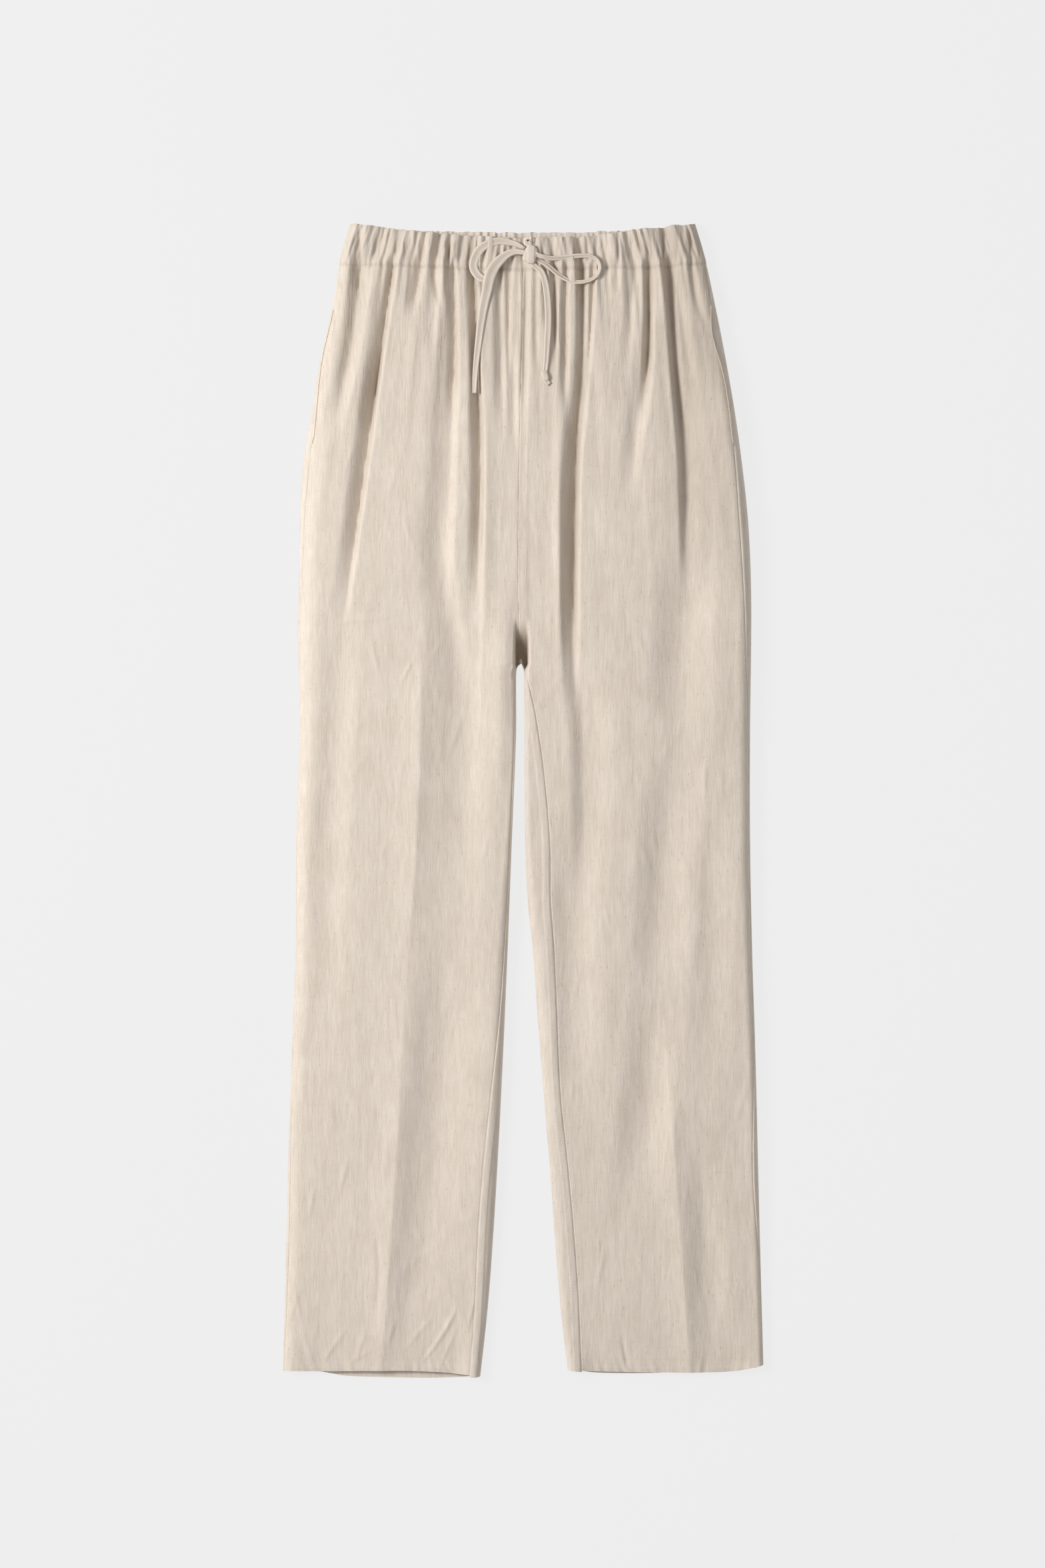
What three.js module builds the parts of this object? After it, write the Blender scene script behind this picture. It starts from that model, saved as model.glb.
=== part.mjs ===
// Linen drawstring trousers, laid flat on their back.
//
// Millimetres, +Z up. X runs from the wearer's right (-) to the wearer's left (+), and Y from the hems (-)
// to the waist (+). The origin is on the ground, under the middle of the garment. Heights in the tables are
// measured along the garment, from the hem towards the waist.

import * as THREE from 'three';

// ---------------------------------------------------------------- driving dimensions

const LENGTH = 1072; // hem to the top of the waistband
const WAIST = 1032; // hem to the stitching under the waistband
const CROTCH = 707; // where the centre front seam starts to dive between the legs
const FORK = 663.4; // where the legs part
const HEM_DEPTH = 14;

const CLOTH = 1.2; // wall of one panel
const HEM_WALL = 2.1; // the hem is turned twice
const BAND_WALL = 3; // casing: cloth, elastic and cloth
const BAND_EDGE_WALL = 1.7;
const POCKETING = 1.4; // both layers of a pocket bag
const SEAM_GAP = 0.3; // between two pieces that are sewn together
const MOUTH_GAP = 1.4; // the open edge of a pocket

const SIDE_ROUND = 1.6; // a side's round is this many times wider than it is high
const INNER_ROUND = 0.9;
const GROOVE_ROUND = 6; // half the width of the groove above the fork
const UNDER_ROUND = 8; // how far in from an edge the lower layer lifts off the ground
const FORK_WRAP = 0.8; // how far the inseam lies over the edge at the fork
const HEM_PULL_REACH = 150; // how far up the leg an uneven hem line is felt
const WAIST_PULL_REACH = 150;

const BAND_CROWN = 17;
const BAND_LIP = 6;
const BAND_ROUND = 17;
const GATHER_PITCH = 12.4;
const GATHER_RISE = 0.75;

const MOUTH = { top: 1003, foot: 862 }; // the pocket openings
const POCKET = { inset: 15, reach: 112, foot: 745, corner: 34 };

const TIE = { width: 5.6, thick: 2, sides: 8, step: 9.5 };
const EYELET = { x: 5.6, height: 1053.4, hole: 1.6, rim: 4.9, thick: 0.9 };

// ---------------------------------------------------------------- tables

// The folded sides: X of the wearer's right and left side at each height.
const SIDES = [
  { height: 0, right: -223.6, left: 223.6 },
  { height: 103, right: -220.7, left: 220.7 },
  { height: 202, right: -218.2, left: 218.2 },
  { height: 301, right: -215.1, left: 215.8 },
  { height: 400, right: -211.4, left: 212.7 },
  { height: 500, right: -210.8, left: 210.8 },
  { height: 599, right: -207.7, left: 210.8 },
  { height: 698, right: -209.2, left: 212 },
  { height: 748, right: -207.9, left: 211.4 },
  { height: 797, right: -207.1, left: 208.9 },
  { height: 847, right: -204.6, left: 203.6 },
  { height: 896, right: -196.4, left: 196.8 },
  { height: 946, right: -188.2, left: 188.2 },
  { height: 996, right: -176.8, left: 178.4 },
  { height: 1045, right: -168.6, left: 167.6 },
  { height: 1072, right: -160.4, left: 159.6 },
];

// The inner edges of the two legs, below the fork.
const INNER_EDGES = [
  { height: 0, right: -40, left: 42.5 },
  { height: 53, right: -34.1, left: 36 },
  { height: 103, right: -29.8, left: 31.6 },
  { height: 202, right: -23.6, left: 24.2 },
  { height: 301, right: -18.6, left: 16.1 },
  { height: 400, right: -14.3, left: 8.7 },
  { height: 450, right: -12.4, left: 3.7 },
  { height: 500, right: -10.5, left: 1.9 },
  { height: 599, right: -6.6, left: 1.4 },
  { height: 640, right: -6.6, left: 0.8 },
  { height: 655, right: -5.2, left: -0.2 },
  { height: FORK, right: -2.15, left: -1.75 },
];

// X of the centre seams, above the fork.
const CENTRE = [
  { height: FORK, x: -1.95 },
  { height: CROTCH, x: -4.6 },
  { height: 800, x: -4.9 },
  { height: 940, x: -2 },
  { height: WAIST, x: 0 },
];

// How high the front lies over the ground, and how high the folded edges lie.
const LOFT = [
  { height: 0, crown: 11, edge: 4 },
  { height: 200, crown: 14, edge: 4.6 },
  { height: 400, crown: 16.5, edge: 5 },
  { height: 560, crown: 19, edge: 5 },
  { height: 690, crown: 21.5, edge: 5 },
  { height: 900, crown: 23, edge: 5.5 },
  { height: 985, crown: 21, edge: 6 },
  { height: WAIST, crown: 16.8, edge: 6 },
];

// How far the back panel comes round each edge onto the front, at the side seams and at the inseams.
const SIDE_WRAP = [
  { height: 0, right: 1.5, left: 1.5 },
  { height: 110, right: 3.2, left: 1.8 },
  { height: 187, right: 3, left: 5.5 },
  { height: 300, right: 2, left: 2.4 },
  { height: 600, right: 1.6, left: 2.6 },
  { height: 685, right: 2.4, left: 6 },
  { height: 790, right: 5, left: 9 },
  { height: 850, right: 6.8, left: 7 },
  { height: 920, right: 2.2, left: 4.4 },
  { height: 968, right: 2, left: 8.5 },
  { height: 1003, right: 2, left: 3.4 },
  { height: WAIST, right: 2, left: 2 },
];
const INSEAM_WRAP = [
  { height: 0, right: 10, left: 12 },
  { height: 66, right: 12, left: 17 },
  { height: 131, right: 14, left: 18 },
  { height: 196, right: 13, left: 17 },
  { height: 263, right: 9.5, left: 15.5 },
  { height: 339, right: 5, left: 18 },
  { height: 436, right: 2.4, left: 21 },
  { height: 494, right: 1.6, left: 23 },
  { height: 560, right: 1.5, left: 18 },
  { height: 617, right: 1.4, left: 10 },
  { height: 648, right: 1, left: 3.4 },
  { height: FORK, right: FORK_WRAP, left: FORK_WRAP },
];

// How far the hem edges of the fronts and the backs are drawn up from the lowest place.
const HEM_LINE = [
  { x: -223, front: 8, back: 7.6 },
  { x: -190, front: 6.8, back: 6 },
  { x: -166, front: 6.8, back: 1.9 },
  { x: -121, front: 7.2, back: 0.4 },
  { x: -80, front: 6, back: 0 },
  { x: -40, front: 3.2, back: 1.9 },
  { x: 42, front: 7.8, back: 7.6 },
  { x: 68, front: 6.6, back: 4.8 },
  { x: 119, front: 5.7, back: 4.4 },
  { x: 152, front: 5.6, back: 5.8 },
  { x: 194, front: 6.8, back: 7 },
  { x: 223, front: 12.6, back: 12.8 },
];

// The stitching under the waistband and the top edge of each half of the band, as heights.
const CASING_LINE = [
  { x: -173, height: 1033.5 },
  { x: -100, height: 1031.5 },
  { x: 0, height: 1028 },
  { x: 60, height: 1029.5 },
  { x: 117, height: 1030.5 },
  { x: 173, height: 1034 },
];
const FRONT_TOP_LINE = [
  { x: -161, height: 1071.2 },
  { x: -124, height: 1066.8 },
  { x: -71, height: 1061.4 },
  { x: -10, height: 1057.4 },
  { x: 47, height: 1058.7 },
  { x: 77, height: 1061.4 },
  { x: 107, height: 1065.5 },
  { x: 161, height: 1071.2 },
];
const BACK_TOP_LINE = [
  { x: -161, height: 1071.6 },
  { x: -89, height: 1066 },
  { x: 17, height: 1064.2 },
  { x: 107, height: 1067 },
  { x: 161, height: LENGTH },
];

// The largest folds of the front. Each runs from (top, xTop) to (foot, xFoot), and bow is how far its middle
// leaves the straight line. A negative depth is a ridge.
const FOLDS = [
  { top: 1040, foot: 847, xTop: -154, xFoot: -192, bow: 1, width: 30, depth: 3.5 },
  { top: 1045, foot: 750, xTop: -129, xFoot: -165, bow: 5.6, width: 24, depth: 8 },
  { top: 800, foot: 330, xTop: -162, xFoot: -189, bow: -3, width: 34, depth: 5 },
  { top: 1045, foot: 905, xTop: -70, xFoot: -64.5, bow: 1, width: 18, depth: 4 },
  { top: 1045, foot: 745, xTop: -51.5, xFoot: -46, bow: 1.6, width: 22, depth: 7 },
  { top: 770, foot: 340, xTop: -50.5, xFoot: -82, bow: 6.5, width: 52, depth: 4 },
  { top: 690, foot: -60, xTop: -94, xFoot: -135, bow: 0, width: 60, depth: -3 },
  { top: 1045, foot: 920, xTop: -13.6, xFoot: -17, bow: 0, width: 18, depth: 3.5 },
  { top: 1045, foot: 866, xTop: 35, xFoot: 33, bow: 1, width: 18, depth: 4.5 },
  { top: 1045, foot: 750, xTop: 53, xFoot: 41, bow: 6.2, width: 22, depth: 8 },
  { top: 800, foot: 420, xTop: 41, xFoot: 42, bow: 8.7, width: 34, depth: 5 },
  { top: 1045, foot: 770, xTop: 111.6, xFoot: 92, bow: 6.8, width: 22, depth: 6 },
  { top: 1048, foot: 760, xTop: 129.6, xFoot: 152, bow: 1, width: 26, depth: 9.5 },
  { top: 800, foot: 150, xTop: 147, xFoot: 92, bow: 2.5, width: 60, depth: 4 },
  { top: 1045, foot: 960, xTop: 152, xFoot: 172, bow: -5, width: 18, depth: 3 },
  { top: 380, foot: -60, xTop: 126, xFoot: 158, bow: 0, width: 56, depth: -2.5 },
];

// The free stretches of the drawstring: the way each one lies, from the knot, as [x, height, z].
const TIE_ROUTES = {
  neck: [
    [4.6, 1053.6, 20.3],
    [5, 1051.6, 20.4],
    [5.6, 1049.4, 20.4],
  ],
  loop_right: [
    [-1.2, 1048.2, 20.2],
    [-6.5, 1051, 19.6],
    [-14.9, 1053.2, 18.9],
    [-22.3, 1054, 18.9],
    [-31, 1052, 19.4],
    [-39.4, 1046.6, 19.4],
    [-44.6, 1037.9, 19.2],
    [-45.8, 1029.6, 19.1],
    [-42.2, 1022.4, 19.7],
    [-36.6, 1018.9, 20.1],
    [-31.2, 1020, 20.1],
    [-28.6, 1024.4, 19.8],
    [-25.6, 1030, 19.4],
    [-19.4, 1037, 19],
    [-11.5, 1042, 19.1],
    [-2, 1043.6, 19.4],
  ],
  tail_right: [
    [0.2, 1043, 22.4],
    [-6.5, 1043.8, 21.9],
    [-13, 1042.2, 21.7],
    [-20.6, 1036.8, 21.7],
    [-27.2, 1029, 22],
    [-31.4, 1019, 22.5],
    [-33.4, 1008, 22.4],
    [-35.6, 998, 22.4],
    [-37.8, 986, 22.7],
    [-41.2, 960, 23.1],
    [-44.2, 932, 22.4],
    [-45, 913, 22.2],
  ],
  loop_left: [
    [13.2, 1040.8, 22.6],
    [18.6, 1038.9, 22],
    [27.3, 1037.8, 20.2],
    [40.9, 1039, 19],
    [52.1, 1040.4, 19.3],
    [61.4, 1040, 19.4],
    [68.6, 1036.2, 19.2],
    [70.9, 1029.2, 19.3],
    [67.6, 1021.4, 19.8],
    [58.6, 1016.9, 19.4],
    [47.1, 1016.3, 18.8],
    [38.4, 1019.3, 18.6],
    [29.8, 1025.2, 19.2],
    [22.4, 1031.6, 19.4],
    [13.6, 1036.4, 19.4],
  ],
  tail_left: [
    [9, 1033.2, 20.4],
    [11.8, 1030, 19.7],
    [16.2, 1026.4, 19.7],
    [19.6, 1018.4, 20.3],
    [21.6, 1008, 21.3],
    [23, 992, 22.6],
    [23.2, 976, 23.2],
    [22.3, 959, 23.8],
    [21.4, 943, 24.2],
    [20.4, 933.8, 24.4],
  ],
  tip_left: [
    [21.2, 924.4, 24.3],
    [22.6, 922.6, 24.3],
    [24, 920.9, 24.3],
  ],
};
const KNOT = { x: 7, height: 1041.2, z: 21.5, across: 5.4, along: 7.8, up: 3.2, turn: -0.35 };
const END_KNOT = { x: 19.9, height: 928.6, z: 25.1, across: 3.2, along: 4.2, up: 2, turn: 0.3 };

// ---------------------------------------------------------------- numbers

const clamp01 = (t) => Math.min(Math.max(t, 0), 1);

// 0 below 0, 1 above 1, and smooth between.
function ease(t) {
  const s = clamp01(t);
  return s * s * (3 - 2 * s);
}

// 0 at an edge and 1 where its round ends: the side of a quarter of an ellipse.
const quarterRound = (t) => Math.sqrt(1 - (1 - clamp01(t)) ** 2);

// A smooth reading of one column of a table, whose rows are sorted by another column.
function read(rows, by, column, at) {
  const last = rows.length - 1;
  let row = 0;
  while (row < last - 1 && at > rows[row + 1][by]) row += 1;
  const here = rows[row];
  const next = rows[row + 1];
  const span = next[by] - here[by];
  const t = clamp01((at - here[by]) / span);
  const before = rows[Math.max(row - 1, 0)];
  const after = rows[Math.min(row + 2, last)];
  const slopeHere = (next[column] - before[column]) / (next[by] - before[by]);
  const slopeNext = (after[column] - here[column]) / (after[by] - here[by]);
  const t2 = t * t;
  const t3 = t2 * t;
  return (
    (2 * t3 - 3 * t2 + 1) * here[column] +
    (t3 - 2 * t2 + t) * span * slopeHere +
    (3 * t2 - 2 * t3) * next[column] +
    (t3 - t2) * span * slopeNext
  );
}

// Even steps from one value to another, without the last.
function steps(from, to, count) {
  return Array.from({ length: count }, (_, i) => from + ((to - from) * i) / count);
}

// ---------------------------------------------------------------- the shape of the cloth

// The depth of the folds at a place on the front.
function foldDepth(x, height) {
  let depth = 0;
  for (const fold of FOLDS) {
    const run = (fold.top - height) / (fold.top - fold.foot);
    if (run <= 0 || run >= 1) continue;
    const middle = fold.xTop + (fold.xFoot - fold.xTop) * run + fold.bow * 4 * run * (1 - run);
    const away = Math.abs(x - middle) / (fold.width / 2);
    if (away >= 1) continue;
    const ends = ease(run / 0.12) * ease((1 - run) / 0.35);
    depth += fold.depth * ends * 0.5 * (1 + Math.cos(Math.PI * away));
  }
  return depth;
}

// What one leg's section needs at a height. `hand` is 'right' or 'left', the wearer's.
function section(hand, height) {
  const crown = read(LOFT, 'height', 'crown', height);
  const edge = read(LOFT, 'height', 'edge', height);
  const forked = height <= FORK;
  const dive = ease((CROTCH - height) / (CROTCH - FORK)); // 0 above the crotch, 1 at the fork and below
  const inner = forked ? read(INNER_EDGES, 'height', hand, height) : read(CENTRE, 'height', 'x', height);
  const legRound = INNER_ROUND * (crown - edge);
  return {
    crown,
    edge,
    forked,
    dive,
    inner,
    side: read(SIDES, 'height', hand, height),
    innerEdge: crown + (edge - crown) * dive,
    sideRound: SIDE_ROUND * (crown - edge),
    innerRound: GROOVE_ROUND + (legRound - GROOVE_ROUND) * ease((FORK - height) / 40),
    inward: hand === 'right' ? 1 : -1, // from the side towards the other leg
  };
}

// The height over the ground of the upper outer surface.
function topSurface(hand, x, height) {
  const s = section(hand, height);
  const fromSide = (x - s.side) * s.inward;
  const fromInner = (s.inner - x) * s.inward;
  const overSide = s.edge + (s.crown - s.edge) * quarterRound(fromSide / s.sideRound);
  const overInner = s.innerEdge + (s.crown - s.innerEdge) * quarterRound(fromInner / s.innerRound);
  const nearInner = 1 - s.dive * (1 - ease(fromInner / 16));
  return Math.min(overSide, overInner) - foldDepth(x, height) * ease((fromSide - 2) / 22) * nearInner;
}

// The direction out of the upper surface, in the plane of the section. It looks only to the inside of an edge.
function topNormal(hand, x, height) {
  const s = section(hand, height);
  const reach = 0.3;
  const ends = [x - reach, x + reach].map((end) => {
    const fromSide = (end - s.side) * s.inward;
    const fromInner = (s.inner - end) * s.inward;
    return fromSide < 0 || fromInner < 0 ? x : end;
  });
  const rise = topSurface(hand, ends[1], height) - topSurface(hand, ends[0], height);
  return new THREE.Vector2(-rise, ends[1] - ends[0]).normalize();
}

const seamAtSide = (hand, height) => {
  const s = section(hand, height);
  return s.side + s.inward * read(SIDE_WRAP, 'height', hand, height);
};

const seamAtInside = (hand, height) => {
  const s = section(hand, height);
  return s.forked ? s.inner - s.inward * read(INSEAM_WRAP, 'height', hand, height) : s.inner;
};

// The hem line and the stitching under the waistband draw the rows near them up or down. `layer` is 'front' or
// 'back'.
function settled(layer, x, height) {
  const hemPull = read(HEM_LINE, 'x', layer, x) * (1 - ease(height / HEM_PULL_REACH));
  const waistPull = read(CASING_LINE, 'x', 'height', x) - SEAM_GAP / 2 - WAIST;
  return height + hemPull + waistPull * ease(1 - (WAIST - height) / WAIST_PULL_REACH);
}

// ---------------------------------------------------------------- walls

// Moves a point of a section along the cloth, away from its seam.
function trim(point, neighbour, amount) {
  const away = neighbour.clone().sub(point).normalize();
  return point.clone().addScaledVector(away, amount);
}

// Gives a section's line of outer points a thickness: an inner point for each outer one. The line runs from the
// side seam inwards, over the top for a front and along the ground for a back.
function thicken(line, thickness, turn, startNormal, endNormal) {
  const last = line.length - 1;
  return line.map((point, i) => {
    const before = line[Math.max(i - 1, 0)];
    const after = line[Math.min(i + 1, last)];
    const along = after.clone().sub(before);
    let normal = new THREE.Vector2(-along.y, along.x).multiplyScalar(turn).normalize();
    if (i === 0) normal = startNormal;
    if (i === last) normal = endNormal;
    return { outer: point, inner: point.clone().addScaledVector(normal, -thickness) };
  });
}

// Stands a section's cells in space, each at its own height along the garment.
function standing(cells, heights) {
  return cells.map(({ outer, inner }, column) => {
    const y = heights[column] - LENGTH / 2;
    return { outer: new THREE.Vector3(outer.x, y, outer.y), inner: new THREE.Vector3(inner.x, y, inner.y) };
  });
}

// A closed wall from a net of cells, each with an outer and an inner Vector3. Rows run along Y.
function wallGeometry(net) {
  const rows = net.length;
  const columns = net[0].length;
  const positions = [];
  const faces = [];
  for (const face of ['outer', 'inner']) {
    for (const row of net) for (const cell of row) positions.push(...cell[face].toArray());
  }
  const outer = (r, c) => r * columns + c;
  const inner = (r, c) => rows * columns + r * columns + c;
  const quad = (a, b, c, d) => faces.push(a, b, c, a, c, d);
  for (let r = 0; r < rows - 1; r += 1) {
    for (let c = 0; c < columns - 1; c += 1) {
      quad(outer(r, c), outer(r, c + 1), outer(r + 1, c + 1), outer(r + 1, c));
      quad(inner(r + 1, c), inner(r + 1, c + 1), inner(r, c + 1), inner(r, c));
    }
  }
  for (let c = 0; c < columns - 1; c += 1) {
    quad(inner(0, c), inner(0, c + 1), outer(0, c + 1), outer(0, c));
    quad(outer(rows - 1, c), outer(rows - 1, c + 1), inner(rows - 1, c + 1), inner(rows - 1, c));
  }
  for (let r = 0; r < rows - 1; r += 1) {
    quad(inner(r + 1, 0), inner(r, 0), outer(r, 0), outer(r + 1, 0));
    quad(outer(r + 1, columns - 1), outer(r, columns - 1), inner(r, columns - 1), inner(r + 1, columns - 1));
  }
  return facingOut(positions, faces);
}

// Turns the faces round where they enclose a negative volume.
function facingOut(positions, faces) {
  const corner = (i) => new THREE.Vector3().fromArray(positions, faces[i] * 3);
  let volume = 0;
  for (let i = 0; i < faces.length; i += 3) volume += corner(i).dot(corner(i + 1).cross(corner(i + 2)));
  if (volume < 0) faces.reverse();
  const geometry = new THREE.BufferGeometry();
  geometry.setAttribute('position', new THREE.Float32BufferAttribute(positions, 3));
  geometry.setIndex(faces);
  geometry.computeVertexNormals();
  return geometry;
}

// The rows of every panel, closer together where the crotch seams dive.
const LEVELS = [
  0,
  ...steps(HEM_DEPTH, FORK, 11),
  ...steps(FORK, CROTCH, 4),
  ...steps(CROTCH, WAIST, 9),
  WAIST,
];

const quarterTurns = (count) => Array.from({ length: count + 1 }, (_, i) => (Math.PI / 2) * (i / count));

// ---------------------------------------------------------------- fronts

const FRONT_SPAN_CELLS = 14;
const FRONT_ROUND_CELLS = 4;

// The X of each column of a front's net at a height, from the side seam to the inseam or the centre front.
function frontColumns(hand, height) {
  const s = section(hand, height);
  const start = seamAtSide(hand, height);
  const end = seamAtInside(hand, height);
  const bends = quarterTurns(FRONT_ROUND_CELLS).map((angle) => 1 - Math.cos(angle));
  const sideX = bends.map((bend) => start + s.inward * s.sideRound * bend);
  const innerX = bends.map((bend) => end - s.inward * s.innerRound * bend).reverse();
  const from = sideX[FRONT_ROUND_CELLS];
  const spanX = steps(from, innerX[0], FRONT_SPAN_CELLS).slice(1);
  return [...sideX, ...spanX, ...innerX];
}

function frontPanel(hand) {
  const turn = hand === 'right' ? 1 : -1;
  const net = LEVELS.map((level) => {
    const thickness = level < HEM_DEPTH ? HEM_WALL : CLOTH;
    const heights = frontColumns(hand, level).map((x) => settled('front', x, level));
    const line = heights.map((height, column) => {
      const x = frontColumns(hand, height)[column];
      return new THREE.Vector2(x, topSurface(hand, x, height));
    });
    const last = line.length - 1;
    const open = level < MOUTH.top && level > MOUTH.foot;
    const startNormal = topNormal(hand, line[0].x, heights[0]);
    const endNormal = topNormal(hand, line[last].x, heights[last]);
    const trimmed = line.slice();
    trimmed[0] = trim(line[0], line[1], open ? MOUTH_GAP : SEAM_GAP / 2);
    trimmed[last] = trim(line[last], line[last - 1], SEAM_GAP / 2);
    return standing(thicken(trimmed, thickness, turn, startNormal, endNormal), heights);
  });
  return wallGeometry(net);
}

// ---------------------------------------------------------------- backs

const BACK_SPAN_CELLS = 3;
const BACK_ROUND_CELLS = 3;
const BACK_WRAP_CELLS = 2;

// The section of a back: from the side seam down round the side, along the ground, and up to the inseam or
// out to the centre back.
function backLine(hand, height) {
  const s = section(hand, height);
  const point = (x, z) => new THREE.Vector2(x, z);
  const overSide = steps(seamAtSide(hand, height), s.side, BACK_WRAP_CELLS).map((x) =>
    point(x, topSurface(hand, x, height)),
  );
  const under = quarterTurns(BACK_ROUND_CELLS);
  const roundSide = under.map((angle) =>
    point(s.side + s.inward * UNDER_ROUND * (1 - Math.cos(angle)), s.edge * (1 - Math.sin(angle))),
  );
  // Above the fork the lower layer settles to the ground, and the end of it runs on to the centre back.
  const lifted = 1 - ease((height - FORK) / 30);
  const reach = s.forked ? 0 : FORK_WRAP;
  const lip = s.inner - s.inward * reach;
  const rise = s.edge * lifted;
  const roundInner = under
    .map((angle) => point(lip - s.inward * UNDER_ROUND * (1 - Math.cos(angle)), rise * (1 - Math.sin(angle))))
    .reverse();
  const from = roundSide[BACK_ROUND_CELLS];
  const to = roundInner[0];
  const ground = steps(from.x, to.x, BACK_SPAN_CELLS)
    .slice(1)
    .map((x) => point(x, 0));
  const wrapped = Array.from({ length: BACK_WRAP_CELLS }, (_, i) => {
    const share = (i + 1) / BACK_WRAP_CELLS;
    if (!s.forked) return point(lip + s.inward * reach * share, rise);
    const x = s.inner + (seamAtInside(hand, height) - s.inner) * share;
    return point(x, topSurface(hand, x, height));
  });
  return [...overSide, ...roundSide, ...ground, ...roundInner, ...wrapped];
}

function backPanel(hand) {
  const turn = hand === 'right' ? -1 : 1;
  const net = LEVELS.map((level) => {
    const thickness = level < HEM_DEPTH ? HEM_WALL : CLOTH;
    const heights = backLine(hand, level).map((point) => settled('back', point.x, level));
    const line = heights.map((height, column) => backLine(hand, height)[column]);
    const last = line.length - 1;
    const startNormal = topNormal(hand, line[0].x, heights[0]);
    const grounded = new THREE.Vector2(0, -1);
    const endNormal = level <= FORK ? topNormal(hand, line[last].x, heights[last]) : grounded;
    const trimmed = line.slice();
    trimmed[0] = trim(line[0], line[1], SEAM_GAP / 2);
    trimmed[last] = trim(line[last], line[last - 1], SEAM_GAP / 2);
    return standing(thicken(trimmed, thickness, turn, startNormal, endNormal), heights);
  });
  return wallGeometry(net);
}

// ---------------------------------------------------------------- waistband

const BAND_ROUND_CELLS = 4;
const BAND_SPAN_CELLS = 44;
// Across the band, from the stitching to the top edge: how far each row is up, sunk and thick.
const BAND_ROWS = [
  { share: 0, sunk: 1.1, wall: BAND_EDGE_WALL },
  { share: 0.3, sunk: 0, wall: BAND_WALL },
  { share: 0.75, sunk: 0, wall: BAND_WALL },
  { share: 1, sunk: 0.9, wall: BAND_EDGE_WALL },
];

// The X of each column of the band between its two folded ends.
function bandColumns(height) {
  const right = read(SIDES, 'height', 'right', height);
  const left = read(SIDES, 'height', 'left', height);
  const bends = quarterTurns(BAND_ROUND_CELLS).map((angle) => BAND_ROUND * (1 - Math.cos(angle)));
  const start = bends.map((bend) => right + bend);
  const end = bends.map((bend) => left - bend).reverse();
  const span = steps(start[BAND_ROUND_CELLS], end[0], BAND_SPAN_CELLS).slice(1);
  return [...start, ...span, ...end];
}

function bandSurface(x, height) {
  const right = read(SIDES, 'height', 'right', height);
  const left = read(SIDES, 'height', 'left', height);
  const fromEnd = Math.min(x - right, left - x);
  return BAND_LIP + (BAND_CROWN - BAND_LIP) * quarterRound(fromEnd / BAND_ROUND);
}

// The gathers are ridges across the band, a little uneven, that fan out from the middle.
function gather(x, share) {
  const fan = x * (1 + 0.05 * (share - 0.5));
  return GATHER_RISE * Math.cos((2 * Math.PI * fan) / GATHER_PITCH + 0.9 * Math.sin(x / 31));
}

function bandHalf(topLine, cellAt) {
  const net = BAND_ROWS.map((row) => {
    const nominal = bandColumns(WAIST + (LENGTH - WAIST) * row.share);
    const heights = nominal.map((x) => {
      const low = read(CASING_LINE, 'x', 'height', x) + SEAM_GAP / 2;
      return low + (read(topLine, 'x', 'height', x) - low) * row.share;
    });
    const cells = heights.map((height, column) => {
      return cellAt(bandColumns(height)[column], height, row, column, nominal.length - 1);
    });
    return standing(cells, heights);
  });
  return wallGeometry(net);
}

// The front half: the casing lies over the opening, with its gathers on both faces.
function frontBandCell(x, height, row, column, last) {
  const reach = 0.3;
  const atEnd = column === 0 || column === last;
  const rise = bandSurface(x + reach, height) - bandSurface(x - reach, height);
  const sideways = column === 0 ? -1 : 1;
  const normal = atEnd ? new THREE.Vector2(sideways, 0) : new THREE.Vector2(-rise, 2 * reach).normalize();
  const inFromEnd = Math.min(column, last - column) / BAND_ROUND_CELLS;
  const lift = (gather(x, row.share) * (row.share < 1 ? 1 : 0.8) - row.sunk) * ease(inFromEnd);
  const z = bandSurface(x, height) + (atEnd ? SEAM_GAP / 2 : 0);
  const outer = new THREE.Vector2(x, z).addScaledVector(normal, lift);
  return { outer, inner: outer.clone().addScaledVector(normal, -row.wall) };
}

// The back half: flat on the ground, gathered on the face that looks into the waist.
function backBandCell(x, height, row, column, last) {
  const right = read(SIDES, 'height', 'right', height);
  const left = read(SIDES, 'height', 'left', height);
  const fromEnd = Math.min(x - right, left - x);
  const bend = quarterRound(fromEnd / UNDER_ROUND);
  const atEnd = column === 0 || column === last;
  const z = BAND_LIP * (1 - bend) - (atEnd ? SEAM_GAP / 2 : 0);
  const outer = new THREE.Vector2(x, z);
  const sideways = column < last / 2 ? -1 : 1;
  const lean = atEnd ? 1 : Math.min((1 - bend) * 1.6, 1);
  const normal = new THREE.Vector2(sideways * lean, lean - 1).normalize();
  const ripple = gather(x + GATHER_PITCH / 3, row.share) * ease((fromEnd - UNDER_ROUND) / 12);
  return { outer, inner: outer.clone().addScaledVector(normal, -(row.wall + ripple * 0.8)) };
}

// ---------------------------------------------------------------- pocket bags

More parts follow.
